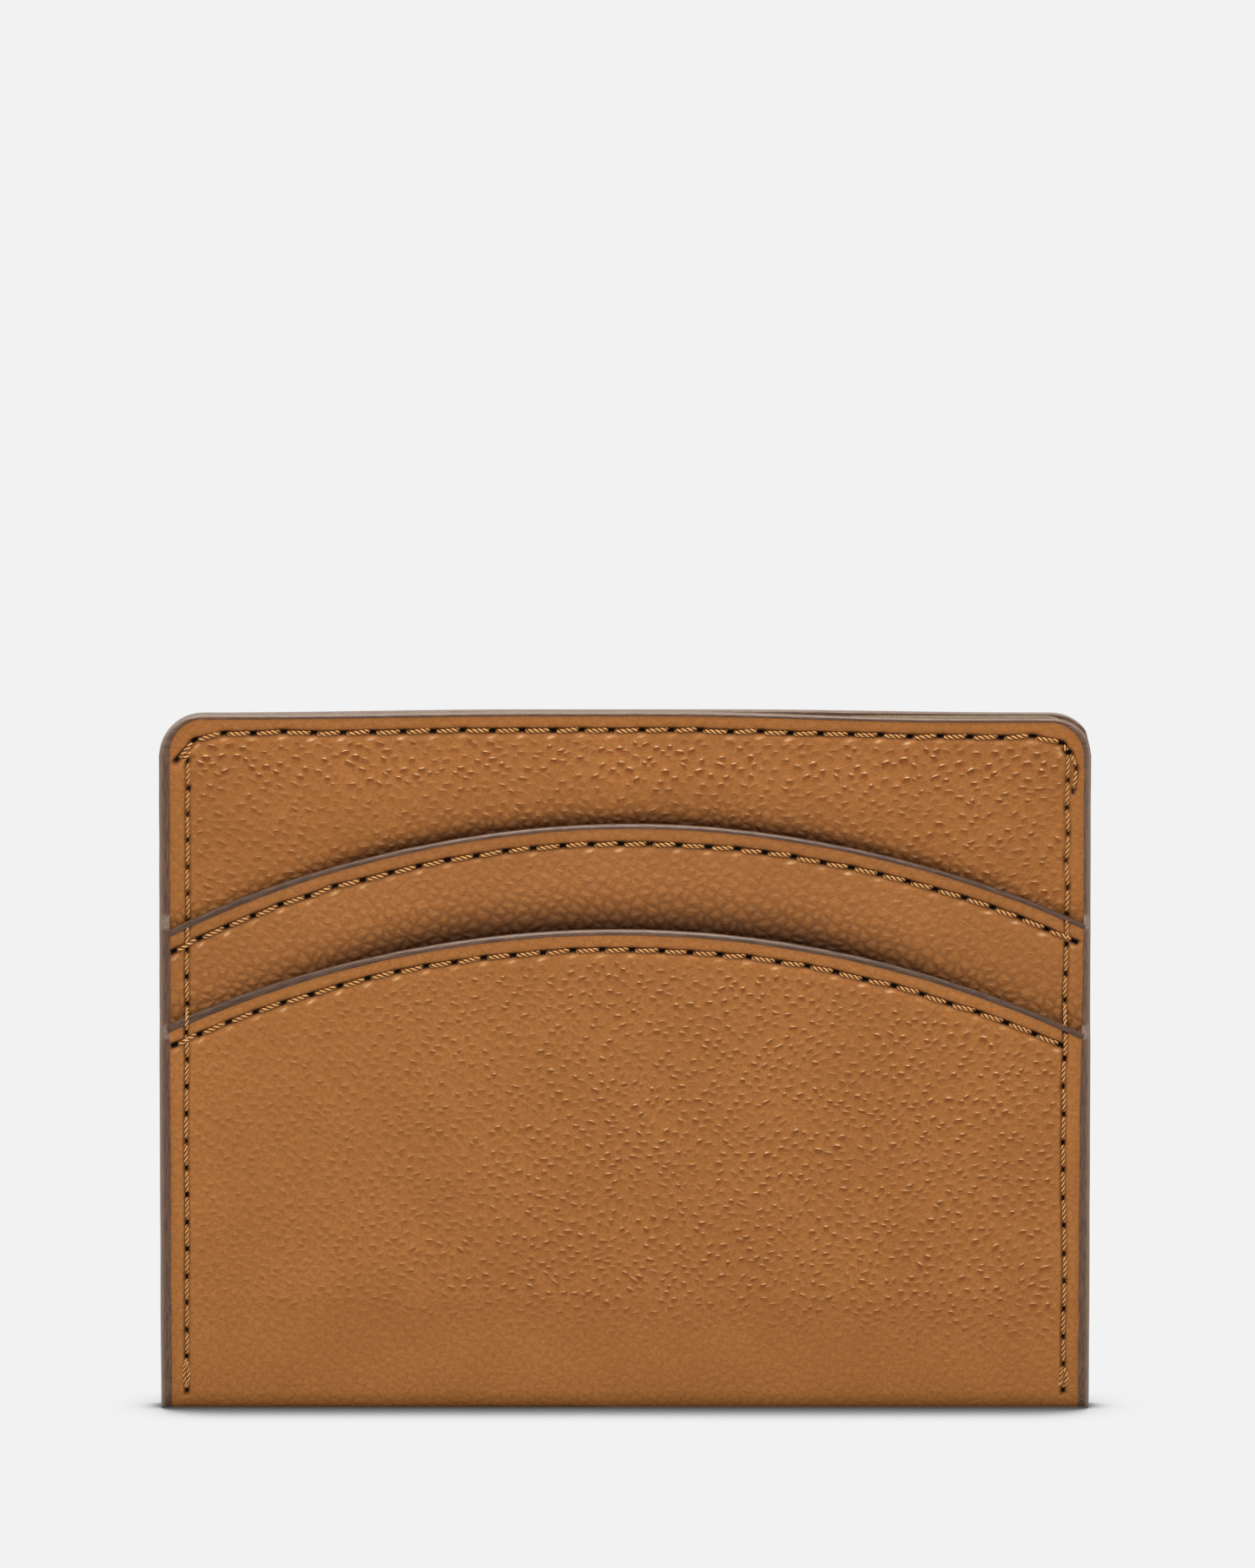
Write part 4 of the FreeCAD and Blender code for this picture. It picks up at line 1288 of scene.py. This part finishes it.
# The case -------------------------------------------------------------------------------------
def build_object():
    wrap_leather = leather_material(
        "leather_wrap", (0.0, 0.0, 0.0), pitch=1.16, depth=0.034, glints=1.35, pits=0.92, pebbles=0.026
    )
    # The pocket and main leathers are darker copies of the wrap's colour: painted shade on their bands
    pocket_leather = leather_material(
        "leather_pocket", (31.0, 17.0, 0.0), pitch=1.26, depth=0.018, glints=0.25, pits=0.35,
        pebbles=0.050, base=(157, 99, 49)
    )
    main_leather = leather_material(
        "leather_main", (-57.0, 43.0, 0.0), pitch=1.24, depth=0.042, glints=1.45, pits=1.1,
        pebbles=0.026, base=(161, 101, 48)
    )
    paint = paint_material("edge_paint")
    thread = thread_material("stitching_thread")
    lining = lining_material("woven_lining")
    board = board_material("fibre_board")

    outer_wrap(wrap_leather, SPACING, SPACING * 1.3)
    for name, sign, seed in SIDES:
        spacing = SPACING if sign < 0 else SPACING * 1.25
        main_panel(name, sign, seed, main_leather, spacing)
        upper_pocket(name, sign, seed, pocket_leather, spacing)
        for which in ("upper", "lower"):
            slot_lining(name, sign, seed, lining, which)
            mouth_bead(name, which, sign, seed, paint)
        top_bead(name, sign, seed, paint)
    centre_lining(lining)
    for name, side in (("left", -1), ("right", 1)):
        side_coat(name, side, paint)
    stitching(thread)
    for node in ("front_panel_stiffener", "rear_panel_stiffener"):
        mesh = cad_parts[node].data
        mesh.materials.clear()
        mesh.materials.append(board)


# Floor, light and camera ----------------------------------------------------------------------
BACKGROUND = srgb(242, 242, 242)
FILL = 0.66                   # strength of the light from all round
# The floor's darkening near the case is a painted contact shadow
CONTACT_REACH = 10.0          # how far round the case the floor darkens


FLOOR_HALF = 12.0             # metres
FLOOR_GAP = 0.05              # the floor lies this far under the case


def floor():
    """Pale paper that glows evenly, with a painted contact shadow that darkens it close to the case."""
    mesh = bpy.data.meshes.new("floor")
    corners = [(-1, -1), (1, -1), (1, 1), (-1, 1)]
    points = [(x * FLOOR_HALF, y * FLOOR_HALF, -FLOOR_GAP * MM) for x, y in corners]
    mesh.from_pydata(points, [], [(0, 1, 2, 3)])
    s = Shader(bpy.data.materials.new("floor_paper"))
    contact = s.node("ShaderNodeAmbientOcclusion", {"Distance": CONTACT_REACH * MM}, samples=16)
    near = contact.outputs["AO"]
    lit = s.node("ShaderNodeFloatCurve", {"Value": near})
    curve = lit.mapping.curves[0]
    for at, value in ((0.45, 0.16), (0.56, 0.31), (0.68, 0.64), (0.80, 0.90), (0.90, 0.985)):
        curve.points.new(at, value)
    curve.points[0].location = (0.0, 0.10)
    lit.mapping.update()
    tone = s.mix(lit.outputs[0], (0.0, 0.0, 0.0, 1.0), BACKGROUND)
    mesh.materials.append(s.finish(s.node("ShaderNodeEmission", {"Color": tone, "Strength": 1.0})))
    link("floor", mesh)


def stand(thing, place_mm, back):
    """Puts a lamp or camera in its place with its back turned that way."""
    thing.location = place_mm * MM
    thing.rotation_mode = "QUATERNION"
    thing.rotation_quaternion = back.to_track_quat("Z", "Y")


def area_light(name, place_mm, aim_mm, size_mm, watts):
    data = bpy.data.lights.new(name, "AREA")
    data.shape = "RECTANGLE"
    data.size, data.size_y = size_mm[0] * MM, size_mm[1] * MM
    data.energy = watts
    stand(link(name, data), Vector(place_mm), Vector(place_mm) - Vector(aim_mm))


def lights():
    """Even studio light; the background that the camera sees is brighter than the light it gives."""
    s = Shader(bpy.data.worlds.new("studio"))
    seen = s.node("ShaderNodeLightPath", {}).outputs["Is Camera Ray"]
    strength = s.node("ShaderNodeMapRange", {"Value": seen, "To Min": FILL}).outputs["Result"]
    background = s.node("ShaderNodeBackground", {"Color": BACKGROUND, "Strength": strength})
    bpy.context.scene.world = s.finish(background, "ShaderNodeOutputWorld")
    area_light("overhead", (-20, -40, 520), (0, 0, 40), (420, 300), 2.6)
    area_light("front_high", (0, -420, 440), (0, 0, 45), (260, 180), 1.3)


CAMERA_DISTANCE = 2000.0
CAMERA_ELEVATION = math.radians(9.0)
CAMERA_AIM = Vector((0.28, 0.0, 68.95))


def camera():
    data = bpy.data.cameras.new("camera")
    data.lens, data.sensor_width = 421.0, 36.0
    data.clip_start, data.clip_end = 0.05, 40.0
    eye = link("camera", data)
    back = Vector((0.0, -math.cos(CAMERA_ELEVATION), math.sin(CAMERA_ELEVATION)))
    stand(eye, CAMERA_AIM + back * CAMERA_DISTANCE, back)
    bpy.context.scene.camera = eye


build_object()
floor()
lights()
camera()
bpy.context.scene.view_settings.view_transform = "Standard"
